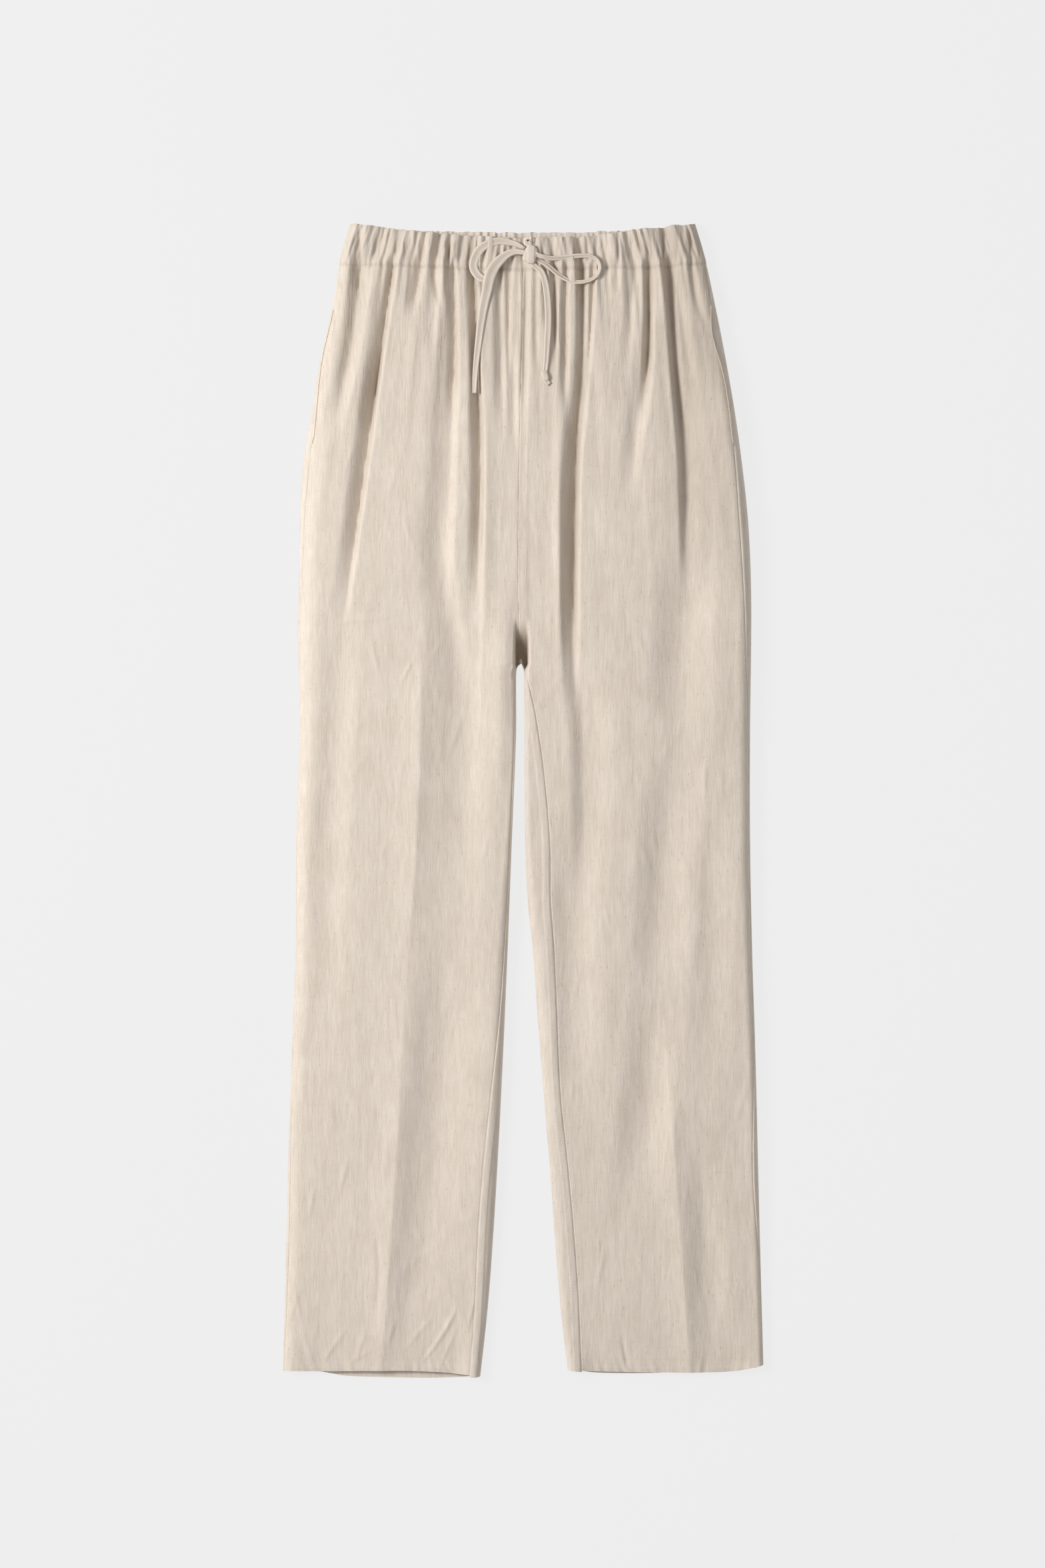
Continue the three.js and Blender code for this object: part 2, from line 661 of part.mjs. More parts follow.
function pocketBag(hand) {
  const inward = hand === 'right' ? 1 : -1;
  const sideAt = (height) => read(SIDES, 'height', hand, height) + inward * POCKET.inset;
  const place = (x, height) => new THREE.Vector2(x, height - LENGTH / 2);
  const mouthEdge = steps(MOUTH.top, MOUTH.foot, 4).map((height) => place(sideAt(height), height));
  const deepest = sideAt(MOUTH.foot) + inward * POCKET.reach;
  const outline = new THREE.Path();
  outline.moveTo(mouthEdge[0].x, mouthEdge[0].y);
  for (const corner of mouthEdge.slice(1)) outline.lineTo(corner.x, corner.y);
  const outerFoot = place(sideAt(MOUTH.foot), POCKET.foot + POCKET.corner);
  outline.lineTo(outerFoot.x, outerFoot.y);
  const footY = POCKET.foot - LENGTH / 2;
  outline.quadraticCurveTo(outerFoot.x, footY, outerFoot.x + inward * POCKET.corner, footY);
  outline.lineTo(deepest - inward * POCKET.corner, footY);
  outline.quadraticCurveTo(deepest, footY, deepest, footY + POCKET.corner);
  outline.lineTo(deepest, MOUTH.foot - LENGTH / 2);
  outline.lineTo(sideAt(MOUTH.top) + inward * POCKET.corner, MOUTH.top - LENGTH / 2);
  const shape = new THREE.Shape(outline.getPoints(5));
  const geometry = new THREE.ExtrudeGeometry(shape, { depth: POCKETING, bevelEnabled: false });
  geometry.translate(0, 0, CLOTH + SEAM_GAP);
  return geometry;
}

// ---------------------------------------------------------------- drawstring

// A flat cord along a route, lying on its broad side.
function tieGeometry(route) {
  const points = route.map(([x, height, z]) => new THREE.Vector3(x, height - LENGTH / 2, z));
  const path = new THREE.CatmullRomCurve3(points, false, 'centripetal');
  const flat = new THREE.Shape(
    Array.from({ length: TIE.sides }, (_, i) => {
      const angle = (2 * Math.PI * (i + 0.5)) / TIE.sides;
      return new THREE.Vector2((TIE.thick / 2) * Math.cos(angle), (TIE.width / 2) * Math.sin(angle));
    }),
  );
  const count = Math.max(2, Math.round(path.getLength() / TIE.step));
  return new THREE.ExtrudeGeometry(flat, { steps: count, extrudePath: path, bevelEnabled: false });
}

function knotGeometry(knot) {
  const geometry = new THREE.SphereGeometry(1, 12, 8);
  geometry.scale(knot.across, knot.along, knot.up);
  geometry.rotateZ(knot.turn);
  geometry.translate(knot.x, knot.height - LENGTH / 2, knot.z);
  return geometry;
}

function eyeletGeometry() {
  const profile = [
    new THREE.Vector2(EYELET.hole, 0),
    new THREE.Vector2(EYELET.rim, 0),
    new THREE.Vector2(EYELET.rim - 0.3, EYELET.thick * 0.8),
    new THREE.Vector2((EYELET.rim + EYELET.hole) / 2, EYELET.thick),
    new THREE.Vector2(EYELET.hole, EYELET.thick * 0.7),
    new THREE.Vector2(EYELET.hole, 0),
  ];
  const geometry = new THREE.LatheGeometry(profile, 14);
  geometry.rotateX(Math.PI / 2);
  return geometry;
}

// ---------------------------------------------------------------- the trousers

const linen = (name, color) =>
  new THREE.MeshStandardMaterial({ name, color, roughness: 0.92, metalness: 0, side: THREE.FrontSide });

const trousers = new THREE.Group();
trousers.name = 'trousers';

function add(name, geometry, material) {
  const mesh = new THREE.Mesh(geometry, material);
  mesh.name = name;
  trousers.add(mesh);
  return mesh;
}

for (const hand of ['right', 'left']) {
  add(`front_${hand}`, frontPanel(hand), linen('linen front', 0xd9cdbf));
  add(`back_${hand}`, backPanel(hand), linen('linen back', 0xd0c3b4));
  add(`pocket_bag_${hand}`, pocketBag(hand), linen('pocketing', 0xd8cfc3));
}
add('waistband_front', bandHalf(FRONT_TOP_LINE, frontBandCell), linen('linen band', 0xd2c6b8));
add('waistband_back', bandHalf(BACK_TOP_LINE, backBandCell), linen('linen band', 0xc9bcac));

const eyelet = add('drawstring_eyelet', eyeletGeometry(), linen('eyelet thread', 0xe2d8ca));
eyelet.position.set(EYELET.x, EYELET.height - LENGTH / 2, BAND_CROWN + GATHER_RISE + SEAM_GAP);

for (const [stretch, route] of Object.entries(TIE_ROUTES)) {
  add(`tie_${stretch}`, tieGeometry(route), linen('linen tie', 0xddd1c3));
}
add('tie_knot', knotGeometry(KNOT), linen('linen tie', 0xddd1c3));
add('tie_end_knot', knotGeometry(END_KNOT), linen('linen tie', 0xddd1c3));

export default trousers;
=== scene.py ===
import math

import bpy
import numpy as np
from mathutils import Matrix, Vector


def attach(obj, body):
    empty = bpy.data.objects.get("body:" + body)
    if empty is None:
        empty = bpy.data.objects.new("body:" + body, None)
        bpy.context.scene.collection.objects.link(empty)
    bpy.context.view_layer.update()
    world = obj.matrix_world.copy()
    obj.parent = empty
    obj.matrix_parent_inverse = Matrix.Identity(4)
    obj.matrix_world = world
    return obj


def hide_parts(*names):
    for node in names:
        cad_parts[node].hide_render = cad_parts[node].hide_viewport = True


# Linen drawstring trousers, laid flat on their back.
#
# Shapes are worked out in millimetres. X runs from the wearer's right (-) to the wearer's left (+), and
# heights are measured along the garment, from the hems to the waist. `metres` turns both into the frame's
# own units. The drawstring's routes are in metres from the start.

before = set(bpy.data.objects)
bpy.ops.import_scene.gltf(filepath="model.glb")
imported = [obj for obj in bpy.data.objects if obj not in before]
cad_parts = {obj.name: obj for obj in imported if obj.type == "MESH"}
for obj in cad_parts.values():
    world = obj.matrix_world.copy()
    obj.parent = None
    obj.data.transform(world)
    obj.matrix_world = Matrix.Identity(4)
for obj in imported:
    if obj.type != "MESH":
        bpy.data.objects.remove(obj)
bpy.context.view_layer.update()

# ---------------------------------------------------------------- sizes

MM = 0.001
LENGTH = 1072  # hem to the top of the waistband
WAIST = 1032  # hem to the stitching under the waistband
CROTCH = 707  # where the centre front seam starts to dive between the legs
FORK = 663.4  # where the legs part
HEM_DEPTH = 14

CLOTH = 0.8
HEM_WALL = 1.5
MOUTH_GAP = 1.6  # how far a pocket's mouth gapes
MOUTH_UNDERLAP = 4  # how far the back reaches under the front at a pocket's mouth
POCKETING = 0.9

SIDE_ROUND = {"right": 1.5, "left": 0.8}  # a side's round is this many times wider than it is high
HIP_ROUND = {"right": 0.2, "left": 0.5, "from": 880, "reach": 100}  # how much wider that round is at the hips
INNER_ROUND = 1.05
GROOVE_ROUND = 3
GROOVE_EDGES = {"right": -6.8, "left": 3.9}  # the X of the groove's walls above the fork
THIGH_LIFT = {"most": 10, "from": 340, "reach": 240}  # how the inner edges rise from the hems to the fork
UNDER_ROUND = 8
FORK_WRAP = 0.8
HEM_PULL_REACH = 150
HEM_DROOP = 5.4  # how far the middle of a front's hem sinks towards the back
WAIST_PULL_REACH = 150

BAND_CROWN = 17
BAND_LIP = 6
BAND_ROUND = 17
BAND_WALL = 2.6

# How much painted shade darkens the cloth's colour, from 0 to 1, in folds, round the hips, in the crotch's
# groove and along the casing's stitching, where shade falls.
FOLD_PAINTED_SHADE = 0.056
HIP_PAINTED_SHADE = 0.08
GROOVE_PAINTED_SHADE = 0.78
STITCH_PAINTED_SHADE = 0.13
STITCH_REACH = 1.7  # how far from its line the casing's stitching still shows
STITCH_DIP = 0.9  # how deep that stitching sinks
THREAD_PITCH = 0.0011  # one thread over and one under, in metres

MOUTH = {"top": 1003, "foot": 862}
POCKET = {"inset": 15, "reach": 112, "foot": 745, "corner": 34}
FELL = {"side": 6.5, "inside": 7.4, "centre": 9.6, "rise": 0.55}
EYELET = {"x": 5.6, "height": 1053.4, "across": 5.3, "along": 4.9, "rim": 3.2, "thick": 1.1}
STITCH = {"long": 2.3, "wide": 0.5, "high": 0.22, "pitch": 3.1, "over": 0.1}


def table(columns, *rows):
    """A table's columns by name, each an array with one value for each row."""
    return dict(zip(columns.split(), np.array(rows, dtype=float).T))


SIDES = table(
    "height right left",
    (0, -223.6, 223.6),
    (103, -220.7, 220.7),
    (202, -218.2, 218.2),
    (301, -215.1, 215.8),
    (400, -211.4, 212.7),
    (500, -210.8, 210.8),
    (599, -207.7, 210.8),
    (698, -209.2, 212),
    (748, -207.9, 211.4),
    (797, -207.1, 208.9),
    (847, -204.6, 203.6),
    (896, -196.4, 196.8),
    (946, -188.2, 188.2),
    (996, -176.8, 178.4),
    (1045, -168.6, 167.6),
    (1072, -160.4, 159.6),
)
INNER_EDGES = table(
    "height right left",
    (0, -40, 42.5),
    (53, -34.1, 36),
    (103, -29.8, 31.6),
    (202, -23.6, 24.2),
    (301, -18.6, 16.1),
    (400, -14.3, 8.7),
    (450, -12.4, 3.7),
    (500, -10.5, 1.9),
    (599, -6.6, 1.4),
    (648, -6.6, 1),
    (657, -6.2, 0.8),
    (661, -4.9, -0.2),
    (FORK, -2.15, -1.75),
)
CENTRE = table("height x", (FORK, -1.95), (CROTCH, -4.6), (800, -4.9), (940, -2), (WAIST, 0))
LOFT = table(
    "height crown edge",
    (0, 11, 4),
    (200, 14, 4.6),
    (400, 16.5, 5),
    (560, 19, 5),
    (690, 21.5, 5),
    (900, 23, 5.5),
    (985, 21, 6),
    (WAIST, 16.8, 6),
)
SIDE_WRAP = table(
    "height right left",
    (0, 1.5, 1.5),
    (110, 3.2, 1.8),
    (187, 3, 5.5),
    (300, 2, 2.4),
    (600, 1.6, 2.6),
    (685, 2.4, 6),
    (790, 5, 9),
    (850, 6.8, 7),
    (920, 2.2, 4.4),
    (968, 2, 8.5),
    (1003, 2, 3.4),
    (WAIST, 2, 2),
)
INSEAM_WRAP = table(
    "height right left",
    (0, 10, 12),
    (66, 12, 17),
    (131, 14, 18),
    (196, 13, 17),
    (263, 9.5, 15.5),
    (339, 5, 18),
    (436, 2.4, 21),
    (494, 1.6, 23),
    (560, 1.5, 18),
    (617, 1.4, 10),
    (648, 1, 3.4),
    (FORK, FORK_WRAP, FORK_WRAP),
)
HEM_LINE = table(
    "x front back",
    (-223, 8, 7.6),
    (-190, 6.8, 6),
    (-166, 6.8, 1.9),
    (-121, 7.2, 0.4),
    (-80, 6, 0),
    (-40, 3.2, 1.9),
    (42, 7.8, 7.6),
    (68, 6.6, 4.8),
    (119, 5.7, 4.4),
    (152, 5.6, 5.8),
    (194, 6.8, 7),
    (223, 12.6, 12.8),
)
CASING_LINE = table(
    "x height",
    (-173, 1033.5),
    (-100, 1031.5),
    (0, 1028),
    (60, 1029.5),
    (117, 1030.5),
    (173, 1034),
)
FRONT_TOP_LINE = table(
    "x height",
    (-161, 1071.2),
    (-124, 1066.8),
    (-71, 1061.4),
    (-10, 1057.4),
    (47, 1058.7),
    (77, 1061.4),
    (107, 1065.5),
    (161, 1071.2),
)
BACK_TOP_LINE = table(
    "x height", (-161, 1071.6), (-89, 1066), (17, 1064.2), (107, 1067), (161, LENGTH)
)

# The folds of the front. Each runs from top to foot through three places, with a wall `before` it (on the
# -X side) and a wall `after` it. A negative depth is a ridge, and `sharp` is 0 for a soft fold and 1 for a
# pressed crease.
FOLDS = table(
    "top foot x_top x_mid x_foot before after depth sharp",
    # right hip, from the side to the centre
    (1042, 1000, -151.3, -152, -153, 8, 5, 3.2, 0.4),
    (1042, 850, -150, -162, -187, 14, 12, 6.6, 0.2),
    (1042, 860, -119.4, -131.6, -145, 15, 5, 9.4, 0.7),
    (985, 680, -127.5, -148, -169, 16, 5, 9.4, 0.5),
    (760, 280, -162, -178, -184, 28, 22, 3.6, 0),
    (1042, 980, -92, -98, -103, 12, 4.5, 6.2, 0.6),
    (1038, 985, -81.5, -80.5, -74, 4, 5, 2.4, 0.4),
    (1010, 680, -64, -68, -76, 26, 9, 5.6, 0.2),
    (840, 600, -84, -70, -48, 28, 15, 3.6, 0),
    (1042, 870, -65, -63.2, -66.4, 10, 4, 6.6, 0.5),
    (1042, 960, -75.5, -72, -70, 5, 5, -1.2, 0),
    (1042, 850, -46.6, -42.6, -40.6, 10, 4.2, 9.5, 0.4),
    (945, 700, -42, -39.6, -45, 12, 5.4, 8, 0.3),
    (930, 600, -36.6, -35.6, -40.6, 5, 12, -2.2, 0.3),
    (1038, 920, -11.2, -13, -14, 9, 3.6, 4.2, 0.6),
    (975, 850, -9.4, -8.4, -8, 13, 4.4, 2.6, 0.2),
    (1042, 860, -21.4, -20.4, -19, 9, 5, 4.6, 0.3),
    # left hip, from the centre to the side
    (1042, 880, 3.4, 2.4, 0, 6, 6, 3.6, 0.3),
    (1036, 920, 12, 12, 13, 5, 4, 2.4, 0.4),
    (1036, 960, 20, 21, 22, 5, 4, 2.2, 0.4),
    (1042, 925, 28.4, 29.2, 30, 7, 4.4, 6, 0.4),
    (1042, 880, 40.4, 39, 39.4, 7, 4.6, 6, 0.3),
    (1042, 840, 55, 54.6, 51, 8, 6, 7.6, 0.3),
    (960, 600, 54, 47, 48.4, 15, 6, 12.4, 0.3),
    (700, 400, 50, 57, 54, 15, 32, 4.6, 0),
    (900, 590, 35, 33.6, 40, 9, 4, -1.8, 0.3),
    (1042, 880, 66, 62, 55, 6, 3, 4.6, 0.5),
    (1042, 1004, 88, 87.6, 86, 7, 4, 3.4, 0.4),
    (1030, 930, 101, 99, 95, 8, 5, 2, 0.2),
    (1042, 880, 115.4, 116, 110, 7, 6, 9.4, 0.3),
    (975, 800, 116, 106, 95, 14, 9, 3.6, 0.2),
    (1044, 850, 134, 140, 148, 7, 7, 7.8, 0.3),
    (950, 720, 141.4, 149, 150.4, 8, 16, 5, 0.1),
    (1040, 700, 135, 149, 152, 8, 44, 4.4, 0),
    (785, 560, 151, 148, 140, 36, 34, 7, 0),
    (620, 300, 142, 131, 119, 31, 36, 6.6, 0),
    (376, 130, 123, 115, 95, 31, 34, 5.6, 0),
    (1042, 965, 155.6, 160.6, 172.6, 6, 6, 2.2, 0.3),
    # the legs
    (560, 190, 46, 47, 52, 26, 32, 4.4, 0),
    (560, 240, 176, 176, 174, 24, 24, 2.6, 0),
    (220, 0, 168, 171, 174, 22, 22, 2.6, 0),
    (770, 500, -22, -17, -20, 18, 16, -2.4, 0),
    (780, 380, -50, -53.6, -65, 42, 26, 5.8, 0),
    (480, 0, -62, -80, -101, 34, 44, 5.6, 0.1),
    (70, 10, -60, -76, -98, 3.6, 4, -1.6, 0.6),
    (44, 2, 91, 94.4, 98, 3, 3.4, 1.3, 0.5),
    (150, 30, -138, -134, -141, 5, 6, 0.9, 0.4),
    # the pressed creases
    (720, 330, -94.5, -97.5, -112, 28, 14, -2.6, 0.8),
    (425, -170, -105, -123, -145, 26, 24, -3, 0.8),
    (400, -170, 126, 147, 168, 24, 26, -3.4, 0.8),
)

# Creases that run across the legs, where the trousers were folded to be packed.
CROSS_CREASES = table(
    "x_start x_end height_start height_end width depth",
    (-184, -112, 697, 709, 3.4, 0.7),
    (38, 96, 340, 342, 3.4, 0.6),
    (150, 208, 588, 580, 3.6, 0.5),
    (-150, -96, 470, 463, 3.6, 0.45),
    (-60, -28, 236, 243, 3.2, 0.4),
    (60, 128, 96, 90, 3.4, 0.45),
    (-122, -76, 95, 125, 2.8, 0.7),
    (-176, -120, 331, 352, 3, 0.5),
    (96, 140, 205, 214, 3, 0.45),
    (-112, -66, 612, 588, 3.4, 0.5),
)

# The share of a fold's run over which it deepens, below the waist and from it, and then fades.
FOLD_ENDS = {"start": 0.32, "at_waist": 0.08, "foot": 0.45}

# The small creases of washing and packing: how many there are, their angles in degrees, and the least and
# the most of each size.
SMALL_CREASES = 130
CREASE_ANGLES = (90, 75, 105, 60, 20, -35)
CREASE_SIZES = {"long": (9, 32), "width": (1.8, 3.2), "depth": (0.2, 0.8)}

# The unevenness of washed linen, from its broadest patches to its smallest.
CRUMPLES = table("depth across along", (0.5, 34, 90), (0.32, 13, 40), (0.12, 5, 12))

# The pleats of the front band that run on into the folds below it.
PLEATS = table(
    "x_low x_high before after depth",
    (-151.5, -152.5, 6, 4, 1.8),
    (-138, -134, 5, 4, 1),
    (-120, -115, 4, 5, 1.3),
    (-107, -103, 4, 4, 1),
    (-95.5, -89.9, 6, 3, 2),
    (-81, -79, 3, 4, 1.2),
    (-69.4, -68.6, 5, 3, 2.2),
    (-51.5, -46.5, 5, 4, 3.2),
    (-38, -33, 4, 3, 1.2),
    (-24, -20, 3, 3, 1),
    (-11.2, -9, 4, 3, 1.4),
    (19.5, 17, 3, 3, 1.6),
    (28.5, 25, 3, 4, 1.8),
    (38, 33.5, 3, 3, 2),
    (50, 45, 3, 3, 1.2),
    (54.4, 51.6, 3, 4, 2.2),
    (61, 57.4, 3, 3, 1.4),
    (68, 64.6, 4, 3, 1.8),
    (88.7, 86.8, 4, 3, 1.8),
    (100, 95, 3, 3, 1.1),
    (115, 104, 3, 4, 2),
    (131.4, 128.6, 3, 5, 2.6),
    (142, 138, 3, 3, 1),
    (156, 154, 3, 4, 1.8),
)

# ---------------------------------------------------------------- numbers


def ease(t):
    """0 below 0, 1 above 1, and smooth between."""
    s = np.clip(t, 0, 1)
    return s * s * (3 - 2 * s)


def quarter_round(t):
    """0 at an edge and 1 where its round ends: the side of a quarter of an ellipse."""
    return np.sqrt(1 - (1 - np.clip(t, 0, 1)) ** 2)


def read(rows, by, column, at):
    """A smooth reading of one column of a table, whose rows are sorted by another column."""
    places, values = rows[by], rows[column]
    last = len(places) - 1
    row = np.clip(np.searchsorted(places, at) - 1, 0, last - 1)
    before = np.maximum(row - 1, 0)
    after = np.minimum(row + 2, last)
    span = places[row + 1] - places[row]
    t = np.clip((at - places[row]) / span, 0, 1)
    slope_here = (values[row + 1] - values[before]) / (places[row + 1] - places[before])
    slope_next = (values[after] - values[row]) / (places[after] - places[row])
    t2, t3 = t * t, t**3
    return (
        (2 * t3 - 3 * t2 + 1) * values[row]
        + (t3 - 2 * t2 + t) * span * slope_here
        + (3 * t2 - 2 * t3) * values[row + 1]
        + (t3 - t2) * span * slope_next
    )


def patches(seed, x, y):
    """Smooth uneven values from -1 to 1 over a plane, one patch to each unit."""
    size = 97
    grid = np.random.default_rng(seed).uniform(-1, 1, (size, size))
    column, row = np.floor(x).astype(int), np.floor(y).astype(int)
    across, along = ease(x - column), ease(y - row)

    def corner(i, j):
        return grid[(row + j) % size, (column + i) % size]

    low = corner(0, 0) * (1 - across) + corner(1, 0) * across
    high = corner(0, 1) * (1 - across) + corner(1, 1) * across
    return low * (1 - along) + high * along


def bump_across(away, before, after, sharp=0.0):
    """1 on a fold's line and 0 past its walls, soft or pressed."""
    share = np.clip(np.abs(away) / np.where(away < 0, before, after), 0, 1)
    soft = 0.5 * (1 + np.cos(np.pi * share))
    return soft + ((1 - share) ** 2 - soft) * sharp


def metres(x, height, z):
    """Points of the frame, from millimetres and heights along the garment."""
    x, height, z = np.broadcast_arrays(x, height, z)
    return np.stack([x, height - LENGTH / 2, z], axis=-1) * MM


# ---------------------------------------------------------------- finishes


class Value:
    """A number that changes over a surface. Sums and products of it add Math nodes."""

    def __init__(self, finish, socket):
        self.finish = finish
        self.socket = socket

    def math(self, operation, *values):
        sockets = dict(enumerate(values))
        return self.finish.node("ShaderNodeMath", {"operation": operation}, sockets)

    def __add__(self, other):
        return self.math("ADD", self, other)

    __radd__ = __add__

    def __sub__(self, other):
        return self.math("SUBTRACT", self, other)

    def __rsub__(self, other):
        return self.math("SUBTRACT", other, self)

    def __mul__(self, other):
        return self.math("MULTIPLY", self, other)

    __rmul__ = __mul__

    def above(self, low, high):
        """0 where the value is under low, 1 over high, and smooth between."""
        return self.finish.node(
            "ShaderNodeMapRange",
            {"interpolation_type": "SMOOTHSTEP"},
            {"Value": self, "From Min": low, "From Max": high},
        )

    def size(self):
        return self.math("ABSOLUTE", self)

    def wave(self):
        return self.math("SINE", self)


class Finish:
    """A material under construction."""

    def __init__(self, name):
        self.material = bpy.data.materials.new(name)
        self.material.use_nodes = True
        self.tree = self.material.node_tree
        self.tree.nodes.clear()

    def node(self, kind, settings=None, sockets=None, output=0):
        """Adds a node. Its settings go in first, then the values or links of its sockets."""
        made = self.tree.nodes.new(kind)
        for name, value in (settings or {}).items():
            setattr(made, name, value)
        for name, value in (sockets or {}).items():
            if isinstance(value, Value):
                self.tree.links.new(value.socket, made.inputs[name])
            else:
                made.inputs[name].default_value = value
        return Value(self, made.outputs[output])

    def blend(self, factor, first, second):
        """One colour where the factor is 0, another where it is 1."""
        return self.node(
            "ShaderNodeMix", {"data_type": "RGBA"}, {0: factor, 6: first, 7: second}, output=2
        )

    def stretched(self, place, scale, detail=2.0):
        """Uneven values about 0.5, whose patches are stretched by a scale in each direction."""
        at = self.node("ShaderNodeVectorMath", {"operation": "MULTIPLY"}, {0: place, 1: scale})
        return self.node("ShaderNodeTexNoise", {}, {"Vector": at, "Scale": 1.0, "Detail": detail})

    def surface(self, shader):
        """Ends the material in its shader."""
        end = self.tree.nodes.new("ShaderNodeOutputMaterial")
        self.tree.links.new(shader.socket, end.inputs["Surface"])
        return self.material


def linen(name, light, dark, weave=1.0, fleck=1.0):
    """Plain-woven linen: slubby threads both ways, dark flecks along the warp, and painted shade in deep
    folds and wherever the 'shade' attribute asks for it.
    """
    cloth = Finish(name)
    thread = cloth.node("ShaderNodeAttribute", {"attribute_name": "thread"}, output=1)
    shade = cloth.node("ShaderNodeAttribute", {"attribute_name": "shade"}, output=2)
    across_the_leg = cloth.node("ShaderNodeSeparateXYZ", {}, {0: thread})
    down_the_leg = cloth.node("ShaderNodeSeparateXYZ", {}, {0: thread}, output=1)
    warp = cloth.stretched(thread, (820, 70, 1))
    broad_warp = cloth.stretched(thread, (260, 24, 1))
    weft = cloth.stretched(thread, (90, 900, 1))
    cloud = cloth.stretched(thread, (45, 26, 1), 4.0)
    flecks = cloth.stretched(thread, (900, 190, 1), 1.0).above(0.68, 0.76) * fleck
    crinkled = 1 - (cloth.stretched(thread, (105, 10, 1), 3.0) - 0.5).size().above(0.0, 0.035)
    near_waist = down_the_leg.above(0.86, 1.02)
    crinkles_and_their_shade = crinkled * (0.35 + near_waist * 0.65)
    tone = 0.55 + (warp - 0.5) * 0.8 + (broad_warp - 0.5) * 0.5 + (weft - 0.5) * 0.22 + (cloud - 0.5) * 0.4
    # The crinkle lines are also painted a little darker in colour: painted shade in their small creases.
    # Their bump is real relief.
    plain = cloth.blend(tone - flecks * 0.6 - crinkles_and_their_shade * 0.22, dark, light)
    # Painted shade: the colour is blended towards a dark warm brown as far as the 'shade' attribute asks, for
    # the shade in folds, grooves, gathers and pleats.
    deep = cloth.blend(shade, plain, (0.20, 0.145, 0.098, 1))
    pitch = 2 * math.pi / THREAD_PITCH
    woven = (across_the_leg * pitch).wave() * (down_the_leg * pitch).wave()
    height = woven * 0.5 * weave + warp * 1.5 + weft * 1.1 - crinkles_and_their_shade * 3.4
    grain = cloth.node("ShaderNodeBump", {}, {"Strength": 0.22, "Distance": 0.00035, "Height": height})
    shader = cloth.node(
        "ShaderNodeBsdfPrincipled",
        {},
        {
            "Base Color": deep,
            "Roughness": 0.94,
            "Normal": grain,
            "Specular IOR Level": 0.18,
            "Sheen Weight": 0.08,
            "Sheen Roughness": 0.5,
        },
    )
    return cloth.surface(shader)


def studio_ground():
    """A pale, evenly lit ground that still takes a faint shadow."""
    ground = Finish("studio ground")
    lit = ground.node("ShaderNodeEmission", {}, {"Color": (0.856, 0.856, 0.856, 1), "Strength": 1.0})
    shaded = ground.node("ShaderNodeBsdfDiffuse", {}, {"Color": (0.86, 0.86, 0.86, 1)})
    both = ground.node("ShaderNodeMixShader", {}, {0: 0.07, 1: lit, 2: shaded})
    return ground.surface(both)


FRONT_LINEN = linen("front linen", (0.812, 0.728, 0.636, 1), (0.60, 0.51, 0.42, 1))
BACK_LINEN = linen("back linen", (0.79, 0.71, 0.625, 1), (0.58, 0.495, 0.41, 1))
# The band's linen is a slightly darker copy of the front's: painted shade for its crowded gathers.
BAND_LINEN_WITH_PAINTED_SHADE = linen("band linen", (0.805, 0.722, 0.635, 1), (0.59, 0.505, 0.42, 1))
TIE_LINEN = linen("tie linen", (0.79, 0.71, 0.62, 1), (0.60, 0.515, 0.43, 1), fleck=0.4)
POCKET_LINEN = linen("pocket linen", (0.76, 0.67, 0.57, 1), (0.60, 0.505, 0.41, 1))
THREAD = linen("sewing thread", (0.83, 0.745, 0.65, 1), (0.66, 0.57, 0.475, 1), weave=0.3, fleck=0.0)


# ---------------------------------------------------------------- meshes


def piece(name, points, faces, finish, thread=None, shade=None):
    """A smooth mesh that rides with the trousers. `thread` is each point's place in the cloth, in metres."""
    mesh = bpy.data.meshes.new(name)
    mesh.from_pydata(points.tolist(), [], faces)
    mesh.update()
    mesh.polygons.foreach_set("use_smooth", np.ones(len(faces), dtype=bool))
    mesh.materials.append(finish)
    if thread is None:
        thread = points
    place = mesh.attributes.new("thread", "FLOAT_VECTOR", "POINT")
    place.data.foreach_set("vector", np.ascontiguousarray(thread, dtype=np.float32).ravel())
    # The 'shade' attribute holds each point's painted shade, which darkens its finish's colour.
    dark = mesh.attributes.new("shade", "FLOAT", "POINT")
    values = np.zeros(len(points)) if shade is None else shade
    dark.data.foreach_set("value", np.ascontiguousarray(values, dtype=np.float32).ravel())
    made = bpy.data.objects.new(name, mesh)
    bpy.context.collection.objects.link(made)
    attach(made, "root")
    return made


def grid_faces(rows, columns, closed=False):
    """The quads of a net of points, closed round its columns or not."""
    across = columns if closed else columns - 1
    r, c = np.meshgrid(np.arange(rows - 1), np.arange(across), indexing="ij")
    here = r * columns + c
    beside = r * columns + (c + 1) % columns
    return np.stack([here, beside, beside + columns, here + columns], axis=-1).reshape(-1, 4)


def net_normals(net):
    """The unit normals of a net, up for a net whose columns run along X and rows along Y."""
    down = np.gradient(net, axis=0)
    across = np.gradient(net, axis=1)
    normals = np.cross(across, down)
    return normals / np.maximum(np.linalg.norm(normals, axis=-1, keepdims=True), 1e-12)


